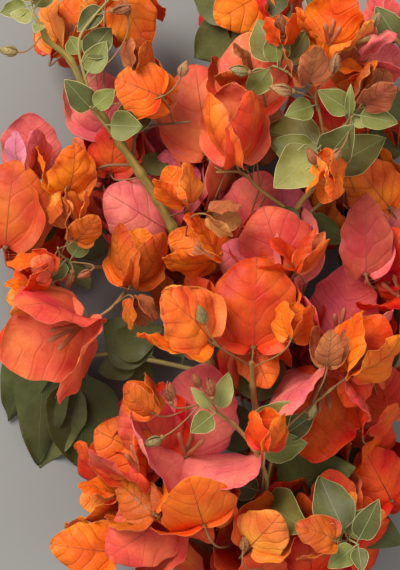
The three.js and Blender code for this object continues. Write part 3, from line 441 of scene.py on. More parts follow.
SPRAYS = {
    "shoot_top_left": shoot("left_bough_high", 1, (0.7, 0.4), [(-69, 112, 74), (-70, 117, 74)],
        leaves=[(0.1, (-47, 112, 78)), (0.4, (-79, 113, 73)), (0.2, (-68, 104, 80)),
        (0.9, (-74, 128, 70)), (0.7, (-62, 126, 66))], young=[(0.9, (-69, 118, 78), (80, 30), 9)],
        more=(2, 16)),
    "shoot_upper_left": shoot("left_bough_high", 0.66, (0.65, 0.4), [(-50.4, 102, 70), (-44, 112, 70),
        (-38, 119, 68)],
        leaves=[(0.35, (-55, 104, 60)), (0.3, (-37, 108, 62)), (0.95, (-30, 130, 62)),
        (1, (-44, 131, 60))],
        young=[(0.8, (-36, 114, 74), (10, 20), 9), (0.4, (-43, 102, 62), (250, 0), 8)], more=(2, 16)),
    "leaves_left_stem": shoot("left_bough_high", 0.48, (0.7, 0.45), [(-45, 73, 70), (-45.5, 74, 74)],
        leaves=[(0.3, (-24, 66, 58), 0.8), (0.7, (-56, 85, 78)), (0.9, (-35, 81, 79))]),
    "shoot_top_centre": shoot("top_shoot", 1, (0.5, 0.4), [(33, 90, 75), (30, 91, 75)],
        leaves=[(0.4, (24, 111, 68), 0.7), (0.6, (31, 106, 80), 0.7), (0.1, (45, 113, 78))],
        young=[(0.4, (34, 103, 82), (100, 10), 11), (0.9, (20, 88, 78), (170, 0), 9)], more=(2, 17)),
    "buds_top": shoot("top_shoot", 0.5, (0.5, 0.35), [(48, 80, 77), (50, 83, 80)],
        leaves=[(0.1, (35, 70, 80), 0.62)],
        young=[(0.9, (44, 84.5, 84), (92, 5), 17), (1, (54, 87, 84), (70, 15), 10),
        (0.3, (38, 80, 82), (172, 5), 11)]),
    "shoot_right": shoot("right_shoot_high", 1, (0.6, 0.4), [(62, 69, 78), (64, 71, 79)],
        leaves=[(0.4, (55, 82, 78), 0.7), (0.5, (62, 83, 84), 0.3), (0.9, (82, 67, 78), 0.55)],
        young=[(1, (68, 76, 82), (45, 5), 16)], more=(2, 16)),
    "shoot_right_low": shoot("right_shoot_high", 0.62, (0.55, 0.4), [(51, 57, 70), (50, 58, 72)],
        leaves=[(0.9, (30.5, 40, 79), 0.76), (0.3, (29, 60, 62), 0.6), (0.1, (78, 53, 62), 0.75)],
        young=[(0.9, (48, 50, 82), (120, 20), 9), (0.2, (53, 45, 80), (250, 10), 13)], more=(2, 18)),
    "shoot_centre": shoot("lower_shoot", 1, (0.6, 0.4), [(5, -52, 76), (0, -49, 77)],
        leaves=[(0.3, (12, -36, 74), 0.5), (0.1, (16, -49, 78), 0.5), (0.5, (-4, -42, 80), 0.35),
        (0.4, (-4, -61, 80), 0.7)],
        young=[(0.3, (5, -46, 82), (100, 5), 9), (1, (-20, -52, 80), (130, -5), 17),
        (0.9, (-12, -48, 82), (95, 5), 9.5), (0.95, (-16, -63, 82), (205, 5), 9)]),
    "leaves_centre": shoot("tan_twig", 0.4, (0.6, 0.4), [(36, -54, 66), (34, -52, 64)],
        leaves=[(0.9, (16, -46, 66), 0.75), (0.5, (47, -56, 64), 0.6), (0.3, (36, -72, 62), 0.6)],
        more=(2, 20)),
    "shoot_low_right": shoot("bottom_right_twig", 1, (0.5, 0.4), [(62, -106, 70), (66, -108, 73)],
        leaves=[(0.9, (74, -88, 80), 0.5), (1, (67, -119, 78), 0.6), (0.2, (44, -101, 78), 0.6),
        (0.5, (50, -80, 60), 0.6)], young=[(0.1, (55, -106, 76), (172, -15), 18)], more=(2, 18)),
    "small_left": shoot("left_twig", 0.5, (0.5, 0.4), [(-59, 13, 52), (-60, 16, 55)],
        leaves=[(0.3, (-66, 0, 60), 0.5), (0.4, (-46, -2, 46), 0.5)],
        young=[(0.9, (-52, 20, 64), (60, 0), 15), (0.6, (-54, 27, 58), (95, 0), 15),
        (0.7, (-63, 5, 66), (150, 10), 13), (0.2, (-54, 5, 56), (250, 0), 8)], more=(1, 15)),
    "back_leaves_left": shoot("left_bough_low", 0.5, (1.1, 0.7), [(-24, -32, 28), (-44, -30, 24),
        (-60, -36, 22)],
        leaves=[(0.9, (-70, -80, 6), 0.5), (0.8, (-53, -80, 7), 0.7), (0.3, (-42, -16, 20), 0.8),
        (0.5, (-22, -44, 20), 0.7), (1, (-88, -40, 6), 0.6), (0.95, (-82, -12, 6), 0.6)], more=(4, 26)),
    "back_leaves_centre": shoot("left_bough_low", 0.42, (1, 0.6), [(10, -20, 24), (16, 0, 18),
        (14, 20, 16)],
        leaves=[(0.1, (4, -44, 30), 0.8), (0.5, (-12, -10, 12), 0.7), (0.9, (-6, 38, 8), 0.6)],
        more=(5, 28)),
}

# Blooms that have no solid of their own: smaller ones, and those in the shade behind
SMALL_BLOOMS = {
    "curled_strip": flower("right_shoot_high", 0.5, (54, 44, 78), (100, 10), 14, (16, 14, 20), "orange"),
    "pink_top_right": flower("outer_bough_high", 0.6, (70, 94, 60), (10, 10), 19, (26, 30, 30), "rose"),
    "point_top": flower("outer_bough_high", 0.9, (66, 88, 68), (190, 0), 13, (20, 20, 24), "orange"),
    "copper_top_right": flower("shoot_right", 0.9, (68, 80, 74), (35, 10), 16, (26, 26, 30), "russet"),
    "ember_top": flower("centre_twig", 0.6, (20, 88, 62), (150, 10), 16, (30, 30, 30), "russet"),
    "closed_brown": flower("left_bough_high", 0.6, (-27, 92, 66), (80, 10), 13, (16, 16, 16), "russet"),
    "copper_low_left": flower("big_left_twig", 0.7, (-27, -7, 62), (290, 5), 13, (24, 24, 24), "russet"),
    "left_small": flower("small_left", 0.9, (-66, 7, 66), (205, 5), 16, (28, 26, 28), "orange"),
    "left_lower_small": flower("small_left", 0.5, (-70, -4, 60), (190, 5), 14, (28, 26, 28), "orange"),
    "copper_gold": flower("left_bough_low", 0.96, (5, 29, 74), (-15, 10), 14, (26, 24, 26), "russet"),
    "left_copper": flower("brown_twig_left", 0.9, (-57, 37, 60), (272, 5), 14, (22, 24, 22), "russet"),
    "right_red": flower("outer_bough_low", 0.45, (70, -60, 54), (70, 10), 19, (28, 28, 28), "scarlet"),
    "right_round": flower("outer_bough_low", 0.5, (67, -36, 66), (250, -50), 17, (50, 50, 50), "orange",
        turn=0),
    "fold_narrow": flower("right_shoot_low", 0.75, (41, 7, 66), (54, 12), 20, (8, 10, 10), "coral"),
    "inner_red": flower("right_shoot_low", 0.72, (37, 8, 64), (150, 8), 15.5, (22, 26, 30), "scarlet"),
    "blush_face": flower("right_shoot_low", 0.74, (36, 4, 52), (108, 0), 33, (8, 30, 30), "rose", turn=0),
    "blush_left": flower("right_shoot_low", 0.7, (28, 5, 50), (152, 0), 25, (10, 30, 30), "coral",
        turn=0),
    "right_coral_mid": flower("outer_bough_low", 0.5, (79, -54, 42), (97, 0), 24, (16, 30, 30), "coral",
        turn=0),
    "orange_right_back": flower("outer_bough_high", 0.06, (80, 34, 40), (130, 0), 27, (12, 30, 30),
        "orange", turn=0),
    "low_left_orange": flower("lower_left_bough", 0.8, (-19, -74, 52), (152, 0), 31, (10, 30, 30),
        "coral", turn=0),
    "low_left_red": flower("lower_left_bough", 0.85, (-15, -70, 55), (124, 0), 31, (12, 30, 30),
        "scarlet", turn=0),
    "under_heart": flower("centre_bough", 0.93, (22, -26, 56), (-68, 0), 21, (16, 40, 40), "coral",
        turn=0),
    "pink_mid_left": flower("left_bough_low", 0.97, (-15, 24, 38), (148, 0), 33, (14, 26, 26), "rose",
        turn=0),
    "pink_mid_high": flower("left_bough_low", 0.98, (-10, 34, 36), (98, 0), 27, (14, 26, 26), "plum",
        turn=0),
    "top_small_orange": flower("shoot_top_centre", 0.5, (34, 101, 82), (98, 8), 13, (26, 26, 26),
        "orange"),
    "low_coral_right": flower("bottom_right_twig", 0.5, (53, -103, 46), (96, 6), 21, (28, 28, 28),
        "coral"),
    "corner_magenta": flower("outer_bough_high", 0.4, (78, 108, 40), (70, 0), 20, (28, 30, 28), "plum"),
    "top_vermilion": flower("high_twig", 0.6, (31, 108, 42), (86, 0), 22, (30, 28, 30), "scarlet"),
    "stem_coral_high": flower("left_bough_high", 0.5, (-40, 66, 44), (100, 0), 29, (20, 26, 26), "rose",
        turn=0),
    "stem_coral_low": flower("left_bough_high", 0.3, (-38, 49, 40), (82, 0), 24, (20, 26, 26), "coral",
        turn=0),
    "coral_bottom_face": flower("left_low_twig", 0.3, (-12, -97, 50), (213, -4), 35, (16, 30, 30),
        "coral", turn=0),
    "scarlet_bottom_face": flower("main_stem", 0.32, (48, -128, 46), (96, 0), 31, (14, 30, 30), "scarlet",
        turn=0),
    "right_pink": flower("outer_bough_low", 0.9, (74, 4, 44), (62, 0), 26, (20, 30, 30), "scarlet",
        turn=0),
    "low_right_coral": flower("outer_bough_low", 0.2, (58, -97, 42), (100, 0), 22, (18, 30, 30), "coral",
        turn=0),
}
SHADE_BLOOMS = {
    "shade_coral_heart": flower("centre_bough", 0.7, (17, -18, 44), (112, 0), 34, (24, 20, 24), "coral"),
    "shade_magenta_mid": flower("left_bough_low", 0.9, (-17, 48, 26), (88, 0), 27, (30, 26, 30), "plum"),
    "shade_scarlet_edge": flower("outer_bough_low", 0.7, (84, -20, 30), (80, 0), 27, (26, 26, 26),
        "scarlet"),
    "shade_plum": flower("outer_bough_low", 0.5, (62, -18, 28), (250, 0), 27, (30, 26, 30), "plum"),
    "shade_right_mid": flower("outer_bough_low", 0.62, (66, -34, 30), (100, 0), 26, (30, 30, 30),
        "scarlet"),
    "shade_right_low": flower("outer_bough_low", 0.3, (66, -78, 26), (82, 0), 28, (30, 30, 30),
        "scarlet"),
    "shade_bottom_right": flower("main_stem", 0.4, (62, -118, 24), (74, 0), 28, (30, 30, 30), "scarlet"),
    "shade_bottom": flower("main_stem", 0.3, (4, -124, 28), (100, 0), 27, (30, 30, 30), "coral"),
    "shade_low_mid": flower("lower_left_bough", 0.6, (-4, -92, 34), (70, 0), 28, (30, 28, 30), "plum"),
    "shade_low_centre": flower("main_stem", 0.8, (24, -88, 34), (50, 5), 24, (34, 30, 34), "scarlet"),
    "shade_low_left": flower("lower_left_bough", 0.7, (-38, -84, 30), (100, 0), 24, (28, 26, 28),
        "scarlet"),
    "shade_centre": flower("right_shoot_low", 0.4, (42, -30, 34), (92, 0), 27, (30, 30, 30), "scarlet"),
    "shade_centre_rose": flower("right_shoot_low", 0.3, (34, -52, 34), (60, 0), 26, (30, 26, 30), "rose"),
    "shade_tulip": flower("centre_twig", 0.9, (2, 36, 34), (100, 0), 27, (30, 26, 30), "coral"),
    "shade_upper_mid": flower("centre_twig", 0.6, (22, 60, 28), (60, 0), 26, (30, 26, 30), "russet"),
    "shade_upper_right": flower("right_shoot_high", 0.5, (60, 46, 34), (80, 0), 26, (30, 30, 30),
        "russet"),
    "shade_right": flower("outer_bough_high", 0.3, (84, 62, 24), (95, 0), 26, (30, 26, 30), "coral"),
    "shade_top_right": flower("outer_bough_high", 0.7, (58, 92, 34), (95, 0), 27, (30, 30, 30), "russet"),
    "shade_top": flower("high_twig", 0.8, (14, 108, 28), (88, 0), 26, (30, 26, 30), "scarlet"),
    "shade_top_left": flower("left_bough_high", 0.85, (-62, 100, 34), (60, 0), 24, (30, 26, 30), "coral"),
    "shade_stem": flower("left_bough_high", 0.4, (-36, 62, 22), (100, 0), 25, (30, 26, 30), "coral"),
    "shade_left": flower("left_twig", 0.8, (-74, 20, 26), (70, 0), 28, (30, 26, 30), "coral"),
    "shade_left_low": flower("left_twig", 0.6, (-66, -12, 28), (250, 0), 27, (30, 26, 30), "scarlet"),
    "shade_left_mid": flower("left_twig", 0.3, (-36, 22, 28), (120, 0), 26, (30, 26, 30), "coral"),
    "shade_pink_gap": flower("centre_twig", 0.4, (20, 24, 30), (72, 0), 29, (16, 28, 28), "plum", turn=0),
    "shade_pink_fork": flower("right_shoot_low", 0.85, (38, 18, 28), (98, 0), 30, (16, 28, 28), "plum",
        turn=0),
    "shade_pink_right": flower("outer_bough_low", 0.95, (77, 16, 28), (92, 0), 28, (16, 28, 28), "rose",
        turn=0),
    "shade_mid": flower("centre_twig", 0.5, (14, 14, 26), (85, 0), 27, (30, 26, 30), "orange"),
    "shade_mid_low": flower("centre_bough", 0.5, (18, -46, 36), (80, 0), 24, (30, 26, 30), "coral"),
    "shade_right_gap": flower("outer_bough_low", 0.35, (50, -86, 24), (100, 0), 26, (30, 26, 30), "rose"),
    "shade_centre_left": flower("left_bough_low", 0.7, (-6, -6, 26), (110, 0), 26, (30, 26, 30),
        "russet"),
}

# Closed buds on stalks of their own: stem and share of it, place, line and length
BUDS = [
    ("left_bough_high", 0.98, (-76, 97, 70), (170, 0), 9),
    ("left_bough_high", 0.62, (-8, 87, 68), (70, 10), 8),
    ("left_bough_high", 0.7, (-30, 112, 72), (100, 10), 7),
    ("tan_twig", 0.7, (46, -55, 76), (75, 10), 7),
    ("bottom_right_twig", 0.3, (18, -111, 66), (80, 5), 8),
    ("centre_bough", 0.96, (2, -16, 88), (110, 5), 9),
    ("lower_shoot", 0.9, (0, -42, 82), (120, 5), 7),
    ("shoot_right", 0.8, (58, 56, 82), (230, 10), 8),
    ("outer_bough_high", 0.8, (72, 108, 66), (60, 5), 8),
    ("left_twig", 0.6, (-46, 6, 58), (210, 0), 7),
]

# Further leaves in the shade, by stem or stalk: share of it, tip, and width where it isn't the
# usual one
SHADE_LEAVES = {
    "right_shoot_high": [(0.3, (30, 22, 40)), (0.6, (78, 62, 60)), (0.2, (62, 18, 44)),
        (0.8, (26, 66, 52))],
    "outer_bough_high": [(0.7, (74, 118, 52)), (0.3, (70, 66, 30)), (0.85, (44, 122, 50)),
        (0.5, (66, 74, 44)), (0.12, (62, 50, 48))],
    "outer_bough_low": [(0.4, (58, -72, 30)), (0.6, (64, -8, 24)), (0.25, (88, -112, 26)),
        (0.8, (62, 36, 30)), (0.33, (45, -84, 46))],
    "centre_bough": [(0.3, (4, -48, 40)), (0.5, (44, -46, 48)), (0.6, (26, -18, 40))],
    "right_shoot_low": [(0.5, (20, -30, 34)), (0.8, (14, 26, 34)), (0.9, (24, 40, 30)),
        (0.35, (52, -74, 32)), (0.12, (67, -77, 49))],
    "lower_shoot": [(0.3, (44, -96, 50)), (0.45, (8, -82, 54)), (0.36, (45, -102, 76)),
        (0.8, (38, -48, 78)), (0.75, (45, -66, 68))],
    "main_stem": [(0.6, (44, -116, 30)), (0.4, (0, -140, 24)), (0.8, (2, -92, 30)), (0.25, (42, -146, 22))],
    "lower_left_bough": [(0.5, (-34, -70, 30)), (0.7, (-12, -62, 30))],
    "left_bough_high": [(0.3, (-16, 56, 38)), (0.5, (-20, 78, 50))],
    "left_twig": [(0.5, (-40, 26, 36)), (0.75, (-62, 32, 34)), (0.9, (-92, 30, 26))],
    "high_twig": [(0.5, (20, 126, 40)), (0.8, (42, 118, 40)), (0.96, (-4, 124, 30)),
        (0.98, (-3, 98, 24))],
    "shade_left_low": [(0.96, (-71, -79, 8), 0.36), (0.9, (-84, -60, 10), 0.4)],
}

# Which shades each hue's bracts are dealt from
SHADES = {
    "coral": ("coral", "coral_light", "coral_warm"),
    "orange": ("orange", "orange_light", "vermilion"),
    "russet": ("copper", "russet", "russet"),
    "rose": ("rose", "rose_light", "coral_rose"),
    "mauve": ("mauve", "rose_light", "mauve"),
    "plum": ("rose_painted_light", "rose_painted_light", "magenta"),
    "scarlet": ("scarlet", "crimson", "vermilion_deep"),
}
# The shades of the three bracts of the blooms that show best
BLOOM_SHADES = {
    "tulip": ("coral", "coral_light", "flame"),
    "heart": ("coral_warm", "vermilion", "coral"),
    "blush": ("rose_light", "coral_rose", "rose_light"),
    "blush_face": ("coral_rose", "rose_light", "coral_rose"),
    "blush_left": ("rose_light", "coral_rose", "coral"),
    "coral_behind_tulip": ("coral_light", "coral", "coral_light"),
    "orange_right_back": ("orange", "orange", "russet"),
    "under_heart": ("flame", "coral_light", "flame"),
    "low_left_orange": ("flame", "coral", "coral"),
    "low_left_red": ("coral_rose", "scarlet", "rose"),
    "pink_mid_left": ("rose_light", "magenta", "rose"),
    "pink_mid_high": ("magenta", "rose_light", "magenta"),
    "ember_behind": ("orange", "orange", "russet"),
    "coral_left_edge": ("coral_soft", "coral_soft", "coral"),
    "marigold": ("orange", "vermilion", "orange"),
    "vivid_crinkled": ("flame", "orange_light", "orange"),
    "orange_top": ("orange", "orange_light", "orange"),
    "orange_top_right": ("orange", "orange", "orange_light"),
    "orange_upper": ("orange", "orange", "vermilion"),
    "pumpkin": ("orange_smooth", "orange_smooth", "vermilion"),
    "shoot_centre_young_1": ("russet", "orange", "russet"),
    "coin": ("orange", "orange", "vermilion"),
    "amber_bottom_left": ("orange", "orange", "orange"),
    "orange_pair_mid": ("russet", "orange", "russet"),
    "russet": ("russet", "orange", "russet"),
    "big_left": ("coral_light", "coral_rose", "coral_light"),
    "crimson_cup": ("vermilion_deep", "coral_rose", "rose_light"),
    "rose_centre": ("rose_light", "rose_light", "rose_light"),
    "salmon_right": ("rose_dusk", "rose_painted_light", "rose_painted_light"),
    "magenta_mid": ("magenta", "coral_rose", "rose"),
    "plum": ("magenta", "rose", "rose_painted_light"),
    "coral_bottom": ("coral_rose", "coral", "coral_rose"),
    "coral_bottom_face": ("coral_rose", "coral", "coral_rose"),
    "coral_low_left": ("rose", "coral_rose", "flame"),
    "coral_top": ("coral_light", "coral", "coral"),
    "copper_young": ("copper", "copper", "copper"),
    "copper_gold": ("gold_brown", "gold_brown", "copper"),
    "orange_low_right": ("orange_light", "orange", "coral_warm"),
}
# Where a bloom's bracts differ from the usual form: a closed one's wrap round each other
FORMS = {
    "tulip": dict(width=0.9, cup=52, flare=4, curl=66, wave=0.03, quilt=0.024),
    "heart": dict(width=0.96, cup=24, profile=(0.42, 0.54), wave=0.014, quilt=0.026),
    "blush": dict(cup=30, wave=0.02),
    "blush_face": dict(width=1.05, cup=22),
    "marigold": dict(cup=34),
    "vivid_crinkled": dict(width=0.98, cup=26, quilt=0.042),
    "crimson_cup": dict(width=1.0, cup=34, wave=0.03),
    "folded_centre": dict(width=1.0, cup=44, flare=20),
    "salmon_right": dict(width=0.64, cup=14, profile=(0.46, 0.8)),
    "copper_young": dict(width=0.66, cup=12, wave=0.01, quilt=0.03),
    "orange_pair_mid": dict(width=1.0, cup=36, flare=10, wave=0.02, quilt=0.024),
    "coral_left_edge": dict(width=1.0, wave=0.015),
    "scarlet_edge": dict(width=1.0, cup=8, wave=0.015),
    "fold_narrow": dict(width=0.56, cup=60, flare=0),
    "big_left": dict(width=1.0, wave=0.03),
    "russet": dict(width=0.85, quilt=0.045, wave=0.03),
    "pumpkin": dict(wave=0.02, quilt=0.014),
    "orange_low_right": dict(width=1.0, quilt=0.022),
    "coin": dict(wave=0.02, quilt=0.026),
}
# Boughs that are stouter in the open than their solids, by this share
STOUTER = {"left_bough_low": 1.25, "left_bough_high": 1.35}
# Stems whose bark isn't tan
STEM_SHADES = {
    "left_bough_high": "olive_bark", "left_bough_low": "olive_bark", "main_stem": "brown_bark",
    "outer_bough_low": "brown_bark", "left_twig": "brown_bark", "brown_twig_left": "brown_bark",
    "brown_twig_right": "brown_bark",
}


class Route:
    """A curve whose points are found by their share of its length"""

    PARTS = 200

    def __init__(self, place):
        self.place = place
        self.shares = np.linspace(0, 1, self.PARTS + 1)
        steps = np.linalg.norm(np.diff(place(self.shares), axis=0), axis=1)
        self.run = np.concatenate([[0], np.cumsum(steps)])
        self.length = self.run[-1]

    def at(self, shares):
        shares = np.atleast_1d(shares)
        return self.place(np.interp(shares * self.length, self.run, self.shares))


def smooth_curve(points):
    """A smooth curve through some points, timed by the square roots of their distances"""
    points = np.array(points, float)
    ends = [2 * points[0] - points[1], 2 * points[-1] - points[-2]]
    chain = np.vstack([ends[:1], points, ends[1:]])

    def place(shares):
        at = np.clip(shares, 0, 1) * (len(points) - 1)
        first = np.minimum(at.astype(int), len(points) - 2)
        t = (at - first)[:, None]
        p0, p1, p2, p3 = (chain[first + k] for k in range(4))
        d0, d1, d2 = (np.sqrt(np.linalg.norm(b - a, axis=1))[:, None]
            for a, b in ((p0, p1), (p1, p2), (p2, p3)))
        leave = ((p1 - p0) / d0 - (p2 - p0) / (d0 + d1) + (p2 - p1) / d1) * d1
        arrive = ((p2 - p1) / d1 - (p3 - p1) / (d1 + d2) + (p3 - p2) / d2) * d1
        return (p1 + leave * t + (3 * (p2 - p1) - 2 * leave - arrive) * t ** 2
            + (2 * (p1 - p2) + leave + arrive) * t ** 3)

    return place


def stalk_curve(start, end, line):
    """The cubic curve of a stalk, which arrives along its bloom's line"""
    lead = start + STALK_LEAD * (end - start)
    before = end - STALK_SHARE * np.linalg.norm(end - start) * line

    def place(shares):
        t = np.asarray(shares)[:, None]
        return ((1 - t) ** 3 * start + 3 * (1 - t) ** 2 * t * lead + 3 * (1 - t) * t ** 2 * before
            + t ** 3 * end)

    return place


def unit(way):
    """A way one long"""
    return way / np.linalg.norm(way)


def directions(line):
    """A bloom's line, the side that faces up, and the one square to both"""
    heading, rise = (math.radians(angle) for angle in line)
    level = np.array([math.cos(heading), math.sin(heading), 0])
    onward = level * math.cos(rise) + UP * math.sin(rise)
    upper = UP * math.cos(rise) - level * math.sin(rise)
    return onward, upper, np.cross(onward, upper)


def spoke(upper, third, degrees):
    """The way out from a bloom's line, at an angle from its upper side"""
    about = math.radians(degrees)
    return math.cos(about) * upper + math.sin(about) * third


def leant(line, radial, angle):
    """The way along something that leans out from a bloom's line, and the way that its back faces"""
    along = math.cos(angle) * line + math.sin(angle) * radial
    return along, math.cos(angle) * radial - math.sin(angle) * line


# The stems and stalks so far, by name, with their radii and their parent's radius where they start
routes = {}
radii_of = {}
start_radius = {}


def point_on(name, share):
    """A point on the middle of a stem's faces in the solids, by its share of the length"""
    route = routes[name]
    hidden = 0
    if name in SPRAYS:
        hidden = min(MOST_HIDDEN, (start_radius[name] + GAP + ROOTED) / route.length)
    steps = max(LEAST_STEPS, round(route.length / LIMB_STEP))
    at = (hidden + (1 - hidden) * min(share, LAST_SHARE)) * steps
    before = min(steps - 1, int(at))
    a, b = route.at([before / steps, (before + 1) / steps])
    return a + (b - a) * (at - before)


def grow_routes():
    """Leads every stem, twig and stalk as the solids are led"""
    for name, stem in {**LIMBS, **FORKS, **SPRAYS}.items():
        parent, share = stem["on"]
        start = [point_on(parent, share)] if parent else []
        routes[name] = Route(smooth_curve([*start, *stem["points"]]))
        radii_of[name] = stem["radii"]
        if parent:
            low, high = radii_of[parent]
            start_radius[name] = low + (high - low) * share
    for name, bloom in {**BLOOMS, **SMALL_BLOOMS, **SHADE_BLOOMS}.items():
        lead_stalk(name, *bloom["on"], bloom["seat"], bloom["line"], bloom["length"])
    for name, spray in SPRAYS.items():
        for i, (share, seat, line, length) in enumerate(spray["young"]):
            lead_stalk(f"{name}_young_{i}", name, share, seat, line, length)
    for i, row in enumerate(BUDS):
        lead_stalk(f"bud_{i}", *row)


def lead_stalk(name, stem, share, seat, line, length):
    """Leads the stalk of a bloom or bud from its stem to its seat"""
    onward = directions(line)[0]
    slender = YOUNG_SHARE if length < YOUNG else 1
    routes[name] = Route(stalk_curve(point_on(stem, share), np.array(seat, float), onward))
    radii_of[name] = [radius * slender for radius in STALK_RADIUS]


class Heap:
    """Closed forms gathered into one mesh. Each point has a place on its form laid flat, and each
    form a paint: the name of its material."""

    def __init__(self):
        self.points = []
        self.flats = []
        self.quads = []
        self.tris = []
        self.paints = {}
        self.quad_paints = []
        self.tri_paints = []
        self.count = 0

    def add(self, form, paint):
        points, flats, quads, tris = form
        number = self.paints.setdefault(paint, len(self.paints))
        self.points.append(points)
        self.flats.append(flats)
        self.quads.append(quads + self.count)
        self.tris.append(tris + self.count)
        self.quad_paints.append(np.full(len(quads), number))
        self.tri_paints.append(np.full(len(tris), number))
        self.count += len(points)


def loft(rings, ends, flats, end_flats):
    """A closed form through rings of points, drawn together to a point at each end, and with its
    faces turned outwards"""
    rows, around = rings.shape[:2]
    points = np.vstack([ends[:1], rings.reshape(-1, 3), ends[1:]])
    flat = np.vstack([end_flats[:1], flats.reshape(-1, 2), end_flats[1:]])
    here = 1 + np.arange(rows * around).reshape(rows, around)
    beside = np.roll(here, -1, axis=1)
    quads = np.stack([here[:-1], beside[:-1], beside[1:], here[1:]], axis=-1).reshape(-1, 4)
    last = len(points) - 1
    start_fan = np.stack([np.zeros(around, int), beside[0], here[0]], axis=-1)
    end_fan = np.stack([np.full(around, last), here[-1], beside[-1]], axis=-1)
    tris = np.vstack([start_fan, end_fan])
    volume = 0
    for corners in (tris, quads[:, (0, 1, 2)], quads[:, (0, 2, 3)]):
        a, b, c = (points[corners[:, k]] for k in range(3))
        volume += np.einsum("ij,ij->", a, np.cross(b, c))
    if volume < 0:
        quads = quads[:, ::-1]
        tris = tris[:, ::-1]
    return points, flat, quads, tris


def tube(line, radii, sides, ribs=0, rib_depth=0.0, grain=None):
    """A tube along a line of points, with a radius for each, closed to a point at both ends"""
    ways = np.gradient(line, axis=0)
    ways /= np.linalg.norm(ways, axis=1)[:, None]
    across = np.cross(ways[0], UP if abs(ways[0][2]) < STEEP else (1, 0, 0))
    turn = 2 * np.pi * np.arange(sides) / sides
    round_it = np.minimum(turn, 2 * np.pi - turn)
    run = np.concatenate([[0], np.cumsum(np.linalg.norm(np.diff(line, axis=0), axis=1))])
    rings = []
    flats = []
    for i, (point, way, radius) in enumerate(zip(line, ways, radii)):
        across = unit(across - way * np.dot(across, way))
        third = np.cross(way, across)
        out = radius * (1 + rib_depth * np.cos(ribs * turn))
        if grain is not None:
            out = out + grain(run[i], turn)
        rings.append(point + np.outer(out * np.cos(turn), across) + np.outer(out * np.sin(turn), third))
        flats.append(np.stack([radius * round_it, np.full(sides, run[i])], axis=-1))
    first = line[0] - radii[0] * TUBE_START * ways[0]
    last = line[-1] + radii[-1] * TUBE_END * ways[-1]
    return loft(np.array(rings), np.stack([first, last]), np.array(flats), np.array([[0, 0], [0, run[-1]]]))


def blade_form(shape, grid, relief, widen):
    """A thin closed blade on the same curved form as in the solids, and the lines along its midrib
    and its two margins. relief is how far it stands out, in mm, and widen its width as a share of
    the plain outline's. t runs from its foot to its tip, s from one margin to the other, and face
    from its under side to its upper one."""
    base, along, out = shape["base"], shape["along"], shape["out"]
    length, stalk = shape["length"], shape["stalk"]
    rise, fall = shape["profile"]
    widest = rise / (rise + fall)
    norm = 1 / (widest ** rise * (1 - widest) ** fall)
    side = np.cross(out, along)
    half = length * shape["width"] / 2
    bow = math.radians(shape["curl"])
    narrow = LEAF_STALK_RADIUS * STALK_FLATNESS if stalk else 0.0
    cup, flare = shape["cup"], shape["flare"]

    def place(t, s, face):
        on_blade = np.clip((t - stalk) / (1 - stalk), 0, 1)
        turn = bow * (0.5 - t)
        onward = (length / bow) * (math.sin(bow / 2) - np.sin(turn))
        outward = (length / bow) * (np.cos(turn) - math.cos(bow / 2))
        full = half * norm * on_blade ** rise * (1 - on_blade) ** fall * widen(t, s)
        reach = np.maximum(full, np.where(t < 0.5, narrow, 0))
        bend = np.radians(cup - (cup + flare) * (1 - t) ** 2)
        bend = np.where(np.abs(bend) < LEAST_BEND, LEAST_BEND, bend)
        wide = reach * np.sin(s * bend) / bend
        deep = reach * (1 - np.cos(s * bend)) / bend
        back = shape["lobe"] * length * s * s * (1 - t) ** 3
        proud = shape["thickness"] / 2 * (1 + ROOT_SWELL * (1 - t) ** 6) * face - deep
        proud = proud + relief(t, s, reach) * np.clip(on_blade * RELIEF_START, 0, 1)
        ahead = onward - back * np.cos(turn) - proud * np.sin(turn)
        above = outward - back * np.sin(turn) + proud * np.cos(turn)
        points = base + ahead[..., None] * along + above[..., None] * out + wide[..., None] * side
        lowest = FLOOR + REST_HEIGHT + shape["thickness"] / 2 * face
        points[..., 2] = np.maximum(points[..., 2], lowest)
        return points, np.stack([s * reach / length, vein_place(t, s, shape["drift"])], axis=-1)

    rows, around = grid
    even = np.linspace(0, 1, rows + 2)[1:-1]
    share = EVEN_SHARE * even + (1 - EVEN_SHARE) * (1 - np.cos(np.pi * even)) / 2
    turns = 2 * np.pi * np.arange(around) / around
    t, turned = np.meshgrid(share, turns, indexing="ij")
    rings, flats = place(t, np.sin(turned), np.cos(turned))
    ends, end_flats = place(np.array([0.0, 1.0]), np.zeros(2), np.zeros(2))
    form = loft(rings, ends, flats, end_flats)
    lines = {}
    fine = np.concatenate([[0.0], share, [1.0]])
    for name, s, face in (("upper", 0, 1.0), ("left", -1, 0), ("right", 1, 0)):
        lines[name] = place(fine, np.full_like(fine, s), np.full_like(fine, face))[0]
    return form, lines


def vein_place(t, s, drift):
    """How far along its blade a point counts for the side veins, which leave the midrib by turns and
    stray from even spacing. The sines' numbers only keep the strays from repeating."""
    stray = np.sin(8 * t + 1.5 * s + drift) + 0.6 * np.sin(17 * t - 2 * s + 2 * drift)
    return t + 0.25 / VEIN_PAIRS * np.tanh(6 * s) + VEIN_STRAY * stray


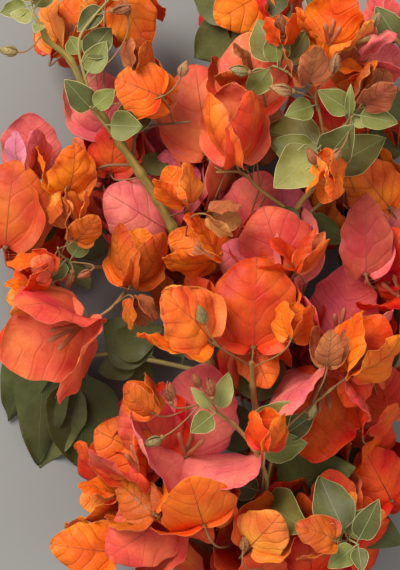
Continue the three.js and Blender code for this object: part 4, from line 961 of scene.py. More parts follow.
def vein_relief(rng, shape):
    """How a bract's or leaf's face stands out: puffed between its veins, crumpled, waved at its
    margins and slowly rolled. The sines' numbers only keep the folds from repeating."""
    length, quilt, wave = shape["length"], shape["quilt"], shape["wave"]
    phase = rng.uniform(0, 2 * np.pi, 6)
    beats = rng.uniform(*MARGIN_WAVES, 2)
    sway = rng.uniform(-1, 1, 3)

    def relief(t, s, reach):
        side = np.where(s < 0, 0, 1)
        aside = np.abs(s) * reach / length
        row = vein_place(t, s, shape["drift"]) - VEIN_SLOPE * aside - VEIN_ARCH * aside ** 2
        puff = np.abs(np.sin(np.pi * (VEIN_PAIRS * row))) ** PUFF_ROUNDNESS
        puff = puff * np.clip(aside / FLAT_MIDRIB, 0, 1)
        crumple = np.sin(13 * t + 9 * s + phase[2]) * np.sin(8 * s - 7 * t + phase[3])
        edge = np.abs(s) ** 3 * np.sin(2 * np.pi * beats[side] * t + phase[side])
        roll = np.sin(2.6 * t + 1.5 * s + phase[4]) * sway[0] + (t - 0.4) ** 2 * 2.2 * sway[1]
        return length * (quilt * (puff + CRUMPLE * crumple) + wave * edge + ROLL * roll)

    return relief


def margin_sway(rng, amount):
    """How a blade's outline strays from its plain form"""
    phase = rng.uniform(0, 2 * np.pi, 2)
    beats = rng.uniform(*OUTLINE_WAVES, 2)

    def widen(t, s):
        side = np.where(s < 0, 0, 1)
        return 1 + amount * np.sin(2 * np.pi * beats[side] * t + phase[side]) * np.sin(np.pi * t)

    return widen


# Each solid's corners, in the layout's mm, for finding which blades grew in it
corner_trees = {}


def corners_of(node):
    """A solid's corners, sorted by place"""
    if node not in corner_trees:
        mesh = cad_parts[node].data
        tree = KDTree(len(mesh.vertices))
        for i, vertex in enumerate(mesh.vertices):
            tree.insert(np.array(vertex.co) / MM - TO_FRAME, i)
        tree.balance()
        corner_trees[node] = tree
    return corner_trees[node]


def grown(node, tries):
    """Which of some (choice, tip) pairs the solid has, or None"""
    if node is None:
        return tries[0][0]
    tree = corners_of(node)
    gaps = [tree.find(tip)[2] for choice, tip in tries]
    nearest = int(np.argmin(gaps))
    return tries[nearest][0] if gaps[nearest] < FOUND else None


def on_floor(tip):
    """A tip, raised to where it rests if it would lie lower"""
    return np.array([tip[0], tip[1], max(tip[2], FLOOR + REST_HEIGHT)])


def bract_shapes(node, bloom):
    """The three bracts of a bloom as its solid has them, with None for one that it hasn't. A bloom's
    roll turns them round its line from where the solid's are."""
    line, upper, third = directions(bloom["line"])
    seat = np.array(bloom["seat"], float)
    length = bloom["length"]
    swelling = KNOB_RADIUS * (YOUNG_SHARE if length < YOUNG else 1)
    bow = math.radians(BRACT_CURL)
    chord = 2 / bow * math.sin(bow / 2)
    turn = bloom.get("turn", USUAL_TURN)
    shapes = []

    def foot(radial):
        return seat - line * swelling * KNOB_DEPTH + radial * swelling * ROOT_OUT

    for k in range(3):
        radial = spoke(upper, third, turn + THIRDS * k)
        tries = []
        for size in SIZES:
            for more in LEANS:
                lean = math.radians(more + bloom["lean"][k])
                along = leant(line, radial, lean)[0]
                tries.append(((size, lean), on_floor(foot(radial) + along * length * size * chord)))
        choice = grown(node, tries)
        if choice is None:
            shapes.append(None)
            continue
        size, lean = choice
        radial = spoke(upper, third, turn + THIRDS * k + bloom.get("roll", 0))
        along, out = leant(line, radial, lean)
        broad = bloom.get("broad") and k == 0
        shapes.append(dict(base=foot(radial), along=along, out=out, length=length * size,
            width=BROAD_WIDTH if broad else BRACT_WIDTH, profile=BRACT_PROFILE, curl=BRACT_CURL,
            cup=BRACT_CUP, flare=BRACT_FLARE, lobe=BROAD_LOBE if broad else BRACT_LOBE, stalk=0,
            thickness=bpy.context.scene.branch_sizes.bract_thickness / MM))
    return shapes


def dressed(shape, name, hue, rng):
    """A bract's shape in the open: with its bloom's own form, and with a whole foot where it faces up"""
    worn = dict(shape)
    crinkled = hue in CRINKLED_HUES or shape["length"] < YOUNG
    worn["width"] *= rng.uniform(*WIDTH_SHARES)
    worn["cup"] += rng.uniform(*CUP_MORE)
    worn["quilt"] = CRINKLED_QUILT if crinkled else SMOOTH_QUILT
    worn["wave"] = CRINKLED_WAVE if crinkled else SMOOTH_WAVE
    worn["drift"] = rng.uniform(0, 2 * math.pi)
    if shape["out"][2] > FACING:
        worn["flare"] = FACING_FLARE
        worn["lobe"] = max(shape["lobe"], FACING_LOBE)
    worn.update(FORMS.get(name, {}))
    if shape["width"] == BROAD_WIDTH:
        worn["width"] = BROAD_WIDTH
    return worn


def all_blooms():
    """Every bloom, and every bud of a spray: its name, the node it belongs to or None, and its row"""
    for name, bloom in BLOOMS.items():
        yield name, owner_of(name), bloom
    first_turn, next_turn = YOUNG_TURN
    for name, spray in SPRAYS.items():
        for i, (share, seat, line, length) in enumerate(spray["young"]):
            hue = YOUNG_HUES[i % len(YOUNG_HUES)]
            yield f"{name}_young_{i}", name, flower(name, share, seat, line, length, YOUNG_LEAN, hue,
                turn=first_turn + next_turn * i)
    for name, bloom in {**SMALL_BLOOMS, **SHADE_BLOOMS}.items():
        yield name, None, bloom


def owner_of(name):
    """The node that a bloom or twig belongs to"""
    if name in FORKS:
        return owner_of(FORKS[name]["on"][0])
    if name in BLOOMS and (BLOOMS[name].get("fused") or BLOOMS[name]["on"][0] in BLOOMS):
        return owner_of(BLOOMS[name]["on"][0])
    return name


def seed_of(name):
    """A number for random draws that is the same in every run"""
    return sum((i + 1) * ord(letter) for i, letter in enumerate(name))


def bloom_shades(name, hue, rng):
    """The shades of a bloom's three bracts: its own, or dealt from its hue's"""
    if name in BLOOM_SHADES:
        return BLOOM_SHADES[name]
    shades = SHADES[hue]
    main = shades[rng.integers(3)]
    return [shades[rng.integers(3)] if rng.random() < OTHER_SHADE else main for k in range(3)]


def add_midrib(heap, line, share, taper, paint):
    """A midrib along the middle of a blade's upper face, thinner towards the tip"""
    radius = bpy.context.scene.branch_sizes.midrib_radius / MM * share
    radii = radius * np.linspace(1, taper, len(line))
    heap.add(tube(line[:-1], radii[:-1], VEIN_SIDES), paint)


def add_margins(heap, lines, start, share, paint):
    """The thin line along each margin of a blade, from one of its points on"""
    radius = bpy.context.scene.branch_sizes.margin_width / MM * share
    for side in ("left", "right"):
        edge = lines[side][start:]
        heap.add(tube(edge, np.full(len(edge), radius), MARGIN_SIDES), paint)


def build_bracts():
    """Every bract, gathered by hue, and then all midribs, margins, whose paler lines are a painted
    highlight, and closed buds
    """
    bracts = {hue: Heap() for hue in SHADES}
    midribs = Heap()
    margins = Heap()
    buds = Heap()
    for name, node, bloom in all_blooms():
        rng = np.random.default_rng(seed_of(name))
        hue = bloom["hue"]
        if bloom["length"] < BUD:
            add_bud(buds, name, bloom["seat"], bloom["line"], bloom["length"])
            continue
        shades = bloom_shades(name, hue, rng)
        behind = name in SHADE_BLOOMS
        for shape, shade in zip(bract_shapes(node, bloom), shades):
            if shape is None:
                continue
            shape = dressed(shape, name, hue, rng)
            small = shape["length"] < YOUNG
            grid = SMALL_GRID if small else BEHIND_GRID if behind else FRONT_GRID
            relief = vein_relief(rng, shape)
            form, lines = blade_form(shape, grid, relief, margin_sway(rng, BRACT_SWAY))
            bracts[hue].add(form, shade)
            share = SMALL_MIDRIB if small else 1
            add_midrib(midribs, lines["upper"], share, BRACT_TAPER, VEIN_PAINTS[hue])
            # Bracts in front get a paler line along each margin, a painted highlight
            if not behind:
                add_margins(margins, lines, 0, BRACT_MARGIN, MARGIN_HIGHLIGHT_PAINTS[hue])
    for i, (stem, share, seat, line, length) in enumerate(BUDS):
        add_bud(buds, f"bud_{i}", seat, line, length)
    return bracts, midribs, margins, buds


def add_bud(heap, name, seat, line, length):
    """A closed bud: three small scales that fold round each other, ribbed along their veins"""
    rng = np.random.default_rng(seed_of(name))
    line, upper, third = directions(line)
    shade = BUD_SHADES[rng.integers(len(BUD_SHADES))]
    for k in range(3):
        radial = spoke(upper, third, rng.uniform(*BUD_TURN) + THIRDS * k)
        along, out = leant(line, radial, math.radians(rng.uniform(*BUD_LEAN)))
        shape = dict(base=np.array(seat, float) + BUD_OUT * radial, along=along, out=out,
            length=length * rng.uniform(*BUD_SIZE), width=BUD_WIDTH, profile=BUD_PROFILE,
            curl=BUD_CURL, cup=BUD_CUP, flare=-BUD_CUP, lobe=BUD_LOBE, stalk=0,
            thickness=BUD_THICKNESS, drift=rng.uniform(0, BUD_DRIFT))
        relief = bud_relief(shape["length"])
        heap.add(blade_form(shape, BUD_GRID, relief, margin_sway(rng, BUD_SWAY))[0], shade)


def bud_relief(length):
    """How a bud's scale stands out: ribs that run from its foot to its tip"""
    def relief(t, s, reach):
        ribs = np.abs(np.cos(BUD_RIBS * math.pi * s)) ** BUD_RIB_ROUNDNESS
        return length * BUD_RIB * ribs * np.sin(math.pi * t)

    return relief


def build_flower_tubes():
    """The slender five-ribbed flower on each bract's foot, still closed at its mouth"""
    heap = Heap()
    shares = np.linspace(0, 1, TUBE_RINGS)
    radii = np.interp(shares, TUBE_SHARES, TUBE_RADII)
    for name, node, bloom in all_blooms():
        if bloom["length"] < YOUNG or name in SHADE_BLOOMS:
            continue
        line, upper, third = directions(bloom["line"])
        for k in range(3):
            radial = spoke(upper, third, bloom.get("turn", USUAL_TURN) + THIRDS * k)
            along = leant(line, radial, math.radians(bloom["lean"][k] * TUBE_LEAN))[0]
            start = np.array(bloom["seat"], float) - along * KNOB_RADIUS * KNOB_DEPTH
            reach = along * bloom["length"] * TUBE_LENGTH + radial * TUBE_OUT
            bow = np.outer(np.sin(np.pi * shares) * TUBE_BOW, radial)
            middle = start + np.outer(shares, reach) + bow
            form = tube(middle, radii, FLOWER_SIDES, ribs=TUBE_RIBS, rib_depth=TUBE_RIB)
            heap.add(form, "flower_tube")
    return heap


def build_stalks():
    """The stalk of each bloom and bud, with the swelling that its bracts grow from"""
    heap = Heap()
    for name, route in routes.items():
        if name in LIMBS or name in FORKS:
            continue
        leafy = name in SPRAYS
        low, high = (radius * (1 if leafy else SLENDER) for radius in radii_of[name])
        shares = np.linspace(0, 1, max(LEAST_RINGS, round(route.length / STALK_STEP)))
        radii = low + (high - low) * shares ** 3
        paint = "leafy_stem" if leafy else "bloom_stalk"
        heap.add(tube(route.at(shares), radii, STALK_SIDES), paint)
    t = np.linspace(-KNOB_END, KNOB_END, KNOB_RINGS)
    for name, node, bloom in all_blooms():
        line = directions(bloom["line"])[0]
        radius = KNOB_RADIUS * (YOUNG_SHARE if bloom["length"] < YOUNG else 1) * KNOB_SHARE
        middle = np.array(bloom["seat"], float) - line * radius * KNOB_DEPTH
        points = middle + np.outer(t * radius, line)
        heap.add(tube(points, radius * np.sqrt(1 - t * t), KNOB_SIDES), "bloom_stalk")
    return heap


def bark_grain(rng, radius, knots):
    """How bark stands out: lengthwise ridges, small warts, and a swelling at each knot"""
    phase = rng.uniform(0, 2 * np.pi, 8)

    def grain(run, turn):
        ridges = 0
        for (count, twist, height), start in zip(BARK_RIDGES, phase):
            ridges = ridges + np.sin(count * turn + start + twist * run) * height
        along, about, height = BARK_WARTS
        warts = np.sin(along * run + phase[2]) * np.sin(about * turn + phase[3]) * height
        reach = KNOT_REACH * radius
        swell = sum(KNOT_SWELL * math.exp(-((run - knot) / reach) ** 2) for knot in knots)
        return radius * (ridges + warts + swell)

    return grain


def build_limbs():
    """Stem, boughs and twigs with the bark's relief"""
    heap = Heap()
    for name in (*LIMBS, *FORKS):
        route = routes[name]
        low, high = (radius * STOUTER.get(name, 1) for radius in radii_of[name])
        shares = np.linspace(0, 1, max(LEAST_BOUGH_RINGS, round(route.length / BARK_STEP)))
        rng = np.random.default_rng(seed_of(name))
        points = route.at(shares)
        radii = low + (high - low) * shares
        if name == "main_stem":
            form = cut_stem(points, radii, rng)
        else:
            step = KNOT_SPACE / max(route.length, KNOT_LEAST)
            knots = [route.length * share for share in np.arange(FIRST_KNOT, 1, step)]
            sides = BOUGH_SIDES if low > TWIG_RADIUS else TWIG_SIDES
            form = tube(points, radii, sides, grain=bark_grain(rng, (low + high) / 2, knots))
        heap.add(form, STEM_SHADES.get(name, "tan_bark"))
    return heap


def cut_stem(points, radii, rng):
    """The stem, with a flat cut across its foot"""
    grain = bark_grain(rng, radii[0] * FOOT_SHARE, FOOT_KNOTS)
    corners, *rest = tube(points, radii, BOUGH_SIDES, grain=grain)
    corners[0] = points[0]
    return corners, *rest


def leaf_shape(start, tip, width, rng):
    """A leaf that grows from a stem to its tip, with its upper face turned up"""
    reach = tip - start
    length = np.linalg.norm(reach)
    along = reach / length
    out = unit(UP - along * np.dot(along, UP))
    cup = LEAF_CUP * rng.uniform(*LEAF_CUPS)
    return dict(base=start, along=along, out=out, length=length, width=width, profile=LEAF_PROFILE,
        curl=LEAF_CURL * rng.uniform(*LEAF_CURLS), cup=cup, flare=-cup, lobe=0, stalk=LEAF_STALK,
        quilt=LEAF_QUILT, wave=LEAF_WAVE, drift=length,
        thickness=bpy.context.scene.branch_sizes.leaf_thickness / MM)


def seeded(seed):
    """A repeatable run of numbers from 0 to 1, the same as the solids' own"""
    state = seed
    while True:
        state = (state * DRAW_GROWTH + DRAW_SHIFT) % DRAW_RANGE
        yield state / DRAW_RANGE


def rule_leaves(name, count, reach):
    """Where the leaves placed by rule leave a spray's stem, and where they end"""
    by_name, by_count = DRAW_STEPS
    draws = seeded(len(name) * by_name + count * by_count + reach)
    first, span = LEAF_SPAN
    smallest, larger = LEAF_SIZES
    lowest, higher = LEAF_DROOPS
    for i in range(count):
        start = point_on(name, first + span * i / max(1, count - 1))
        turn = math.radians(LEAF_TURN) * i + next(draws) * 2
        size = reach * (smallest + larger * next(draws))
        rise = lowest + higher * next(draws)
        tip = start + np.array([math.cos(turn), math.sin(turn), rise]) * size
        yield start, on_floor(tip)


def all_leaves():
    """Every leaf: its node or None, start, tip and width"""
    for name, spray in SPRAYS.items():
        for share, tip, *width in spray["leaves"]:
            yield name, point_on(name, share), np.array(tip, float), *(width or [LEAF_WIDTH])
        for start, tip in rule_leaves(name, *spray["more"]):
            yield name, start, tip, LEAF_WIDTH
    for name, leaves in SHADE_LEAVES.items():
        for share, tip, *width in leaves:
            yield None, point_on(name, share), np.array(tip, float), *(width or [LEAF_WIDTH])


def build_leaves():
    """Leaves with their stalks, and then their midribs and pale margins"""
    blades = Heap()
    trim = Heap()
    for i, (node, start, tip, width) in enumerate(all_leaves()):
        lift = grown(node, [(lift, on_floor(tip + (0, 0, lift))) for lift in LIFTS])
        if lift is None:
            continue
        rng = np.random.default_rng(FIRST_LEAF + i)
        shape = leaf_shape(start, tip + (0, 0, lift), width, rng)
        relief = vein_relief(rng, shape)
        form, lines = blade_form(shape, LEAF_GRID, relief, margin_sway(rng, LEAF_SWAY))
        blades.add(form, leaf_paint(node, tip, rng))
        shaded = tip[2] < SHADED
        # Leaves in the shade get a darker midrib, a painted shade, and no pale margin
        midrib = "leaf_midrib_shade" if shaded else "leaf_midrib"
        add_midrib(trim, lines["upper"], LEAF_MIDRIB, LEAF_TAPER, midrib)
        if not shaded:
            add_margins(trim, lines, MARGIN_START, LEAF_MARGIN, "leaf_margin")
    return blades, trim


def leaf_paint(node, tip, rng):
    """A leaf's paint: paler high up and darker below, as painted light and shade, and full green on
    some sprays
    """
    if node in GREEN_SPRAYS:
        paints = ("leaf_green", "leaf_dark", "leaf_green")
    # Painted light: the highest leaves get the palest paints
    elif node and tip[2] > SUNLIT:
        paints = ("leaf_painted_light", "leaf_green", "leaf_painted_light")
    elif tip[2] > SHADED:
        paints = ("leaf_green", "leaf_dark", "leaf_olive")
    # Painted shade: the lowest leaves get the darkest paints
    else:
        paints = ("leaf_dark", "leaf_shade")
    return paints[rng.integers(len(paints))]


def make_piece(name, heap, nodes):
    """One joined mesh of a heap, in the frame, riding on the body"""
    mesh = bpy.data.meshes.new(name)
    points = np.vstack(heap.points)
    points[:, 2] = np.maximum(points[:, 2], FLOOR)
    points = (points + TO_FRAME) * MM
    quads = np.vstack(heap.quads)
    tris = np.vstack(heap.tris)
    corners = np.concatenate([quads.ravel(), tris.ravel()])
    starts = np.concatenate([4 * np.arange(len(quads)), 4 * len(quads) + 3 * np.arange(len(tris))])
    mesh.vertices.add(len(points))
    mesh.vertices.foreach_set("co", points.ravel())
    mesh.loops.add(len(corners))
    mesh.loops.foreach_set("vertex_index", corners)
    mesh.polygons.add(len(starts))
    mesh.polygons.foreach_set("loop_start", starts)
    mesh.polygons.foreach_set("use_smooth", np.ones(len(starts), bool))
    paints = np.concatenate([*heap.quad_paints, *heap.tri_paints])
    mesh.polygons.foreach_set("material_index", paints)
    flat = np.vstack(heap.flats)[corners]
    mesh.uv_layers.new(name="flattened").data.foreach_set("uv", flat.ravel())
    for paint in heap.paints:
        mesh.materials.append(material_of(paint))
    mesh.update(calc_edges=True)
    if mesh.validate():
        raise RuntimeError(f"{name} has faces that aren't sound")
    piece = bpy.data.objects.new(name, mesh)
    bpy.context.scene.collection.objects.link(piece)
    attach(piece, "root")
    if nodes:
        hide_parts(*nodes)


def linear(code):
    """An sRGB hex colour in linear values"""
    values = [int(code[i:i + 2], 16) / 255 for i in (1, 3, 5)]
    return tuple(v / 12.92 if v <= 0.04045 else ((v + 0.055) / 1.055) ** 2.4 for v in values)


def add_node(tree, kind, inputs=None, **settings):
    """A shader node with its settings, its input values and its links"""
    made = tree.nodes.new(kind)
    for name, value in settings.items():
        setattr(made, name, value)
    for name, value in (inputs or {}).items():
        if isinstance(value, bpy.types.NodeSocket):
            tree.links.new(value, made.inputs[name])
        else:
            made.inputs[name].default_value = value
    return made


def plain_material(name, colour, roughness):
    """A material with one colour all over"""
    made = bpy.data.materials.new(name)
    made.use_nodes = True
    shader = made.node_tree.nodes["Principled BSDF"]
    shader.inputs["Base Color"].default_value = (*colour, 1)
    shader.inputs["Roughness"].default_value = roughness
    shader.inputs["IOR"].default_value = TISSUE_IOR
    return made, shader


def veined_material(name, codes, roughness, puff):
    """A blade's skin: in a second colour along its side veins, in a fine net between them and in
    soft patches, puffed up between the veins, and wandering in hue. The second colour also darkens
    the furrow beside each side vein, a painted shade that grows with the puff. Its form laid flat
    is in shares of its length. codes are its colour and its veins', and puff its share of the usual
    rise."""
    colour, vein_colour = (linear(code) for code in codes)
    made, shader = plain_material(name, colour, roughness)
    tree = made.node_tree
    # Distance from the nearest side vein, which slopes and bends forward on its way across
    flat = add_node(tree, "ShaderNodeUVMap", uv_map="flattened")
    parts = add_node(tree, "ShaderNodeSeparateXYZ", {"Vector": flat.outputs["UV"]})
    across = add_node(tree, "ShaderNodeMath", {0: parts.outputs["X"]}, operation="ABSOLUTE")
    arch = add_node(tree, "ShaderNodeMath", {0: across.outputs[0], 1: -VEIN_ARCH, 2: -VEIN_SLOPE},
        operation="MULTIPLY_ADD")
    slope = add_node(tree, "ShaderNodeMath", {0: across.outputs[0], 1: arch.outputs[0],
        2: parts.outputs["Y"]}, operation="MULTIPLY_ADD")
    row = add_node(tree, "ShaderNodeMath", {0: slope.outputs[0], 1: 0.5 / VEIN_PAIRS},
        operation="PINGPONG")
    side = add_node(tree, "ShaderNodeMapRange", {"Value": row.outputs[0], "From Min": 0.0,
        "From Max": VEIN_LINE / BLADE, "To Min": SIDE_VEIN_SHARE, "To Max": 0.0})
    furrow = add_node(tree, "ShaderNodeMapRange", {"Value": row.outputs[0], "From Min": 0.0,
        "From Max": FURROW / BLADE, "To Min": 1.0, "To Max": 0.0}, interpolation_type="SMOOTHSTEP")
    # The net between them, and the soft patches
    cells = add_node(tree, "ShaderNodeTexVoronoi", {"Vector": flat.outputs["UV"],
        "Scale": BLADE / VEIN_NET}, feature="DISTANCE_TO_EDGE")
    net = add_node(tree, "ShaderNodeMapRange", {"Value": cells.outputs["Distance"], "From Min": 0.0,
        "From Max": NET_LINE, "To Min": NET_SHARE, "To Max": 0.0})
    veins = add_node(tree, "ShaderNodeMath", {0: side.outputs[0], 1: net.outputs[0]},
        operation="MAXIMUM")
    place = add_node(tree, "ShaderNodeTexCoord")
    patch = add_node(tree, "ShaderNodeTexNoise", {"Vector": place.outputs["Object"],
        "Scale": 1 / (PATCH * MM), "Detail": 2.0})
    soft = add_node(tree, "ShaderNodeMapRange", {"Value": patch.outputs["Fac"],
        "From Min": PATCH_RANGE[0], "From Max": PATCH_RANGE[1], "To Min": 0.0, "To Max": PATCH_SHARE})
    both = add_node(tree, "ShaderNodeMath", {0: veins.outputs[0], 1: VEINS_SHARE, 2: soft.outputs[0]},
        operation="MULTIPLY_ADD")
    # The furrow beside each side vein is darkened too, a painted shade, more where the skin puffs more
    share = add_node(tree, "ShaderNodeMath", {0: furrow.outputs[0], 1: FURROW_SHADE_SHARE * puff,
        2: both.outputs[0]}, operation="MULTIPLY_ADD", use_clamp=True)
    mix = add_node(tree, "ShaderNodeMix", {"Factor": share.outputs[0]}, data_type="RGBA")
    mix.inputs["A"].default_value = (*colour, 1)
    mix.inputs["B"].default_value = (*vein_colour, 1)
    # The hue and value wander over wider areas
    wander = add_node(tree, "ShaderNodeTexNoise", {"Vector": place.outputs["Object"],
        "Scale": 1 / (WANDER * MM), "Detail": 1.0})
    hue = add_node(tree, "ShaderNodeMapRange", {"Value": wander.outputs["Fac"],
        "From Min": WANDER_RANGE[0], "From Max": WANDER_RANGE[1], "To Min": SAME_HUE - HUE_WANDER,
        "To Max": SAME_HUE + HUE_WANDER})
    value = add_node(tree, "ShaderNodeMapRange", {"Value": wander.outputs["Fac"],
        "From Min": WANDER_RANGE[0], "From Max": WANDER_RANGE[1], "To Min": VALUE_WANDER[0],
        "To Max": VALUE_WANDER[1]})
    shifted = add_node(tree, "ShaderNodeHueSaturation", {"Hue": hue.outputs[0],
        "Value": value.outputs[0], "Color": mix.outputs["Result"]})
    tree.links.new(shifted.outputs["Color"], shader.inputs["Base Color"])
    # Veins and furrows lie lower than the skin between them
    sunk = add_node(tree, "ShaderNodeMath", {0: veins.outputs[0], 1: VEINS_DEEP,
        2: furrow.outputs[0]}, operation="MULTIPLY_ADD")
    height = add_node(tree, "ShaderNodeMath", {0: 1.0, 1: sunk.outputs[0]}, operation="SUBTRACT")
    bump = add_node(tree, "ShaderNodeBump", {"Height": height.outputs[0], "Distance": PUFF * MM,
        "Strength": puff})
    tree.links.new(bump.outputs["Normal"], shader.inputs["Normal"])
    return made, shader


# Fresh bougainvillea bract: a papery coloured leaf, grown and neither coated nor polished. It gives
# the eye a matt, slightly silky sheet that light comes through, with darker veins. Each paint has
# its own colour and the colour of its veins and patches, which also darkens the furrows beside the
# veins as a painted shade.
BRACT_PAINTS = {
    "coral": ("#de4c24", "#bc2a0c"),
    "coral_light": ("#e67048", "#d04a26"),
    "coral_warm": ("#d24a16", "#a82c06"),
    "orange": ("#ee7018", "#c44408"),
    "orange_light": ("#f68e38", "#d86014"),
    "orange_smooth": ("#ea6c1c", "#c8480c"),
    "vermilion": ("#e85014", "#bc2c04"),
    "flame": ("#ee6c26", "#c44210"),
    "coral_soft": ("#c85624", "#a63a0e"),
    "rose_dusk": ("#c04e3a", "#962e26"),
    "copper": ("#b4643a", "#7c3a1c"),
    "russet": ("#d0601e", "#923808"),
    "gold_brown": ("#d08a4c", "#a05a24"),
    "rose": ("#dc544c", "#b43038"),
    "rose_light": ("#e8746a", "#c44848"),
    "coral_rose": ("#e05840", "#b83024"),
    "mauve": ("#dc808c", "#c06074"),
    "magenta": ("#d85c62", "#b83e4c"),
    # Painted light: a rose brighter than the bracts' own, to lift the plum blooms that lie in the shade
    "rose_painted_light": ("#ee645a", "#b83e3e"),
    "scarlet": ("#e03414", "#a81804"),
    "crimson": ("#cc2c1c", "#90100a"),
    "vermilion_deep": ("#e04814", "#a82402"),
    "bud_tan": ("#b47e56", "#66381c"),
    "bud_copper": ("#aa6640", "#602a14"),
    "bud_green": ("#9e8858", "#5c4826"),
}
# Sprays whose leaves are all full green
GREEN_SPRAYS = ("shoot_low_right", "leaves_left_stem", "leaves_centre")
# Closed buds are dealt these
BUD_SHADES = ("bud_tan", "bud_copper", "bud_green", "bud_copper")
# Mature bougainvillea leaf, grown with a thin waxy skin. It gives the eye a soft broad gloss, and
# veins paler than the blade. Each paint has its own colour and its veins'. The palest paint is a
# painted light on the highest leaves, and the two darkest are a painted shade on the lower ones;
# the second darkest is also the own dark green of some sprays.
LEAF_PAINTS = {
    # Painted light, given only to the highest leaves
    "leaf_painted_light": ("#868240", "#a29c60"),
    "leaf_green": ("#6e6e32", "#8c8a4c"),
    "leaf_olive": ("#685e2a", "#827a3e"),
    "leaf_dark": ("#52522a", "#6c6a3c"),
    "leaf_shade": ("#444622", "#585830"),
}
# Grown skin of one colour, with its roughness: veins, margins and stalks are bare, which gives the
# eye plain matt lines, and flower tubes are downy and duller still. The bracts' paler margin lines
# are a painted highlight where light comes through their thin edges, and the lower leaves' darker
# midribs a painted shade.
PLAIN_PAINTS = {
    "vein_red": ("#94441e", 0.6),
    "vein_rose": ("#a04038", 0.6),
    "vein_crimson": ("#7c1c12", 0.6),
    "vein_brown": ("#7c4424", 0.6),
    # Painted highlights along the bracts' margins, where light comes through
    "margin_highlight_orange": ("#ee9048", 0.55),
    "margin_highlight_coral": ("#ee7a50", 0.55),
    "margin_highlight_rose": ("#e87c80", 0.55),
    "margin_highlight_red": ("#dc5030", 0.55),
    "leaf_margin": ("#c8c080", 0.6),
    "leaf_midrib": ("#9ea070", 0.6),
    # Painted shade: the midribs of the lower leaves
    "leaf_midrib_shade": ("#66683c", 0.6),
    "bloom_stalk": ("#8c6438", 0.7),
    "leafy_stem": ("#988448", 0.7),
    "flower_tube": ("#b06a44", 0.75),
}
# Young bark, weathered as it grew. It gives the eye a dull skin with lengthwise streaks. Each paint
# has its own colour and its streaks'.
BARK_PAINTS = {
    "olive_bark": ("#7c6c2c", "#a8843e"),
    "tan_bark": ("#a67c44", "#7e5c2c"),
    "brown_bark": ("#6e4a2c", "#8e6a42"),
}
# What the midribs and margins of each hue's bracts are painted with; a margin's paler line is a
# painted highlight where light comes through the thin edge
VEIN_PAINTS = {"coral": "vein_red", "orange": "vein_red", "russet": "vein_brown", "rose": "vein_rose",
    "mauve": "vein_rose", "plum": "vein_rose", "scarlet": "vein_crimson"}
MARGIN_HIGHLIGHT_PAINTS = {"coral": "margin_highlight_coral", "orange": "margin_highlight_orange", "russet": "margin_highlight_orange",
    "rose": "margin_highlight_rose", "mauve": "margin_highlight_rose", "plum": "margin_highlight_rose", "scarlet": "margin_highlight_red"}
# Bracts and buds whose skin is puffed the most
CRINKLED_PAINTS = ("orange", "orange_light", "flame", "copper", "russet", "gold_brown", "bud_tan",
    "bud_copper", "bud_green")

# The materials so far, by paint
made_materials = {}


def material_of(paint):
    """The material for a paint, made once"""
    if paint not in made_materials:
        made_materials[paint] = make_material(paint)
    return made_materials[paint]


def make_material(paint):
    """A paint's material, by the kind of thing that it is found on"""
    colours = bpy.context.scene.branch_colours
    if paint in BRACT_PAINTS:
        puff = CRINKLED_PUFF if paint in CRINKLED_PAINTS else SMOOTH_PUFF
        made, shader = veined_material(f"fresh bract, {paint}", BRACT_PAINTS[paint],
            colours.bract_roughness, puff)
        glow(shader, colours.bract_glow)
    elif paint in LEAF_PAINTS:
        made, shader = veined_material(f"waxy leaf, {paint}", LEAF_PAINTS[paint],
            colours.leaf_roughness, LEAF_PUFF)
        glow(shader, LEAF_GLOW)
    elif paint in BARK_PAINTS:
        made = bark_material(f"young bark, {paint}", BARK_PAINTS[paint])
    else:
        code, roughness = PLAIN_PAINTS[paint]
        made, shader = plain_material(f"grown skin, {paint}", linear(code), roughness)
    return made


def glow(shader, weight):
    """Light that comes through a thin blade, and the slight gloss of its skin"""
    shader.inputs["Specular IOR Level"].default_value = SKIN_SHINE
    shader.inputs["Subsurface Weight"].default_value = weight
    shader.inputs["Subsurface Radius"].default_value = SCATTER
    shader.inputs["Subsurface Scale"].default_value = SCATTER_DEPTH * MM


def bark_material(name, codes):
    """Bark with lengthwise streaks of a second colour, on a form that is laid flat in mm"""
    colour, streak = (linear(code) for code in codes)
    made, shader = plain_material(name, colour, BARK_ROUGHNESS)
    tree = made.node_tree
    flat = add_node(tree, "ShaderNodeUVMap", uv_map="flattened")
    long = add_node(tree, "ShaderNodeMapping", {"Vector": flat.outputs["UV"],
        "Scale": (1.0, STREAK_STRETCH, 1.0)})
    noise = add_node(tree, "ShaderNodeTexNoise", {"Vector": long.outputs[0], "Scale": 1 / STREAK,
        "Detail": 3.0})
    share = add_node(tree, "ShaderNodeMapRange", {"Value": noise.outputs["Fac"],
        "From Min": STREAK_RANGE[0], "From Max": STREAK_RANGE[1], "To Min": 0.0,
        "To Max": STREAK_SHARE})
    mix = add_node(tree, "ShaderNodeMix", {"Factor": share.outputs[0]}, data_type="RGBA")
    mix.inputs["A"].default_value = (*colour, 1)
    mix.inputs["B"].default_value = (*streak, 1)
    tree.links.new(mix.outputs["Result"], shader.inputs["Base Color"])
    bump = add_node(tree, "ShaderNodeBump", {"Height": noise.outputs["Fac"],
        "Distance": BARK_RELIEF * MM, "Strength": BARK_BUMP})
    tree.links.new(bump.outputs["Normal"], shader.inputs["Normal"])
    return made


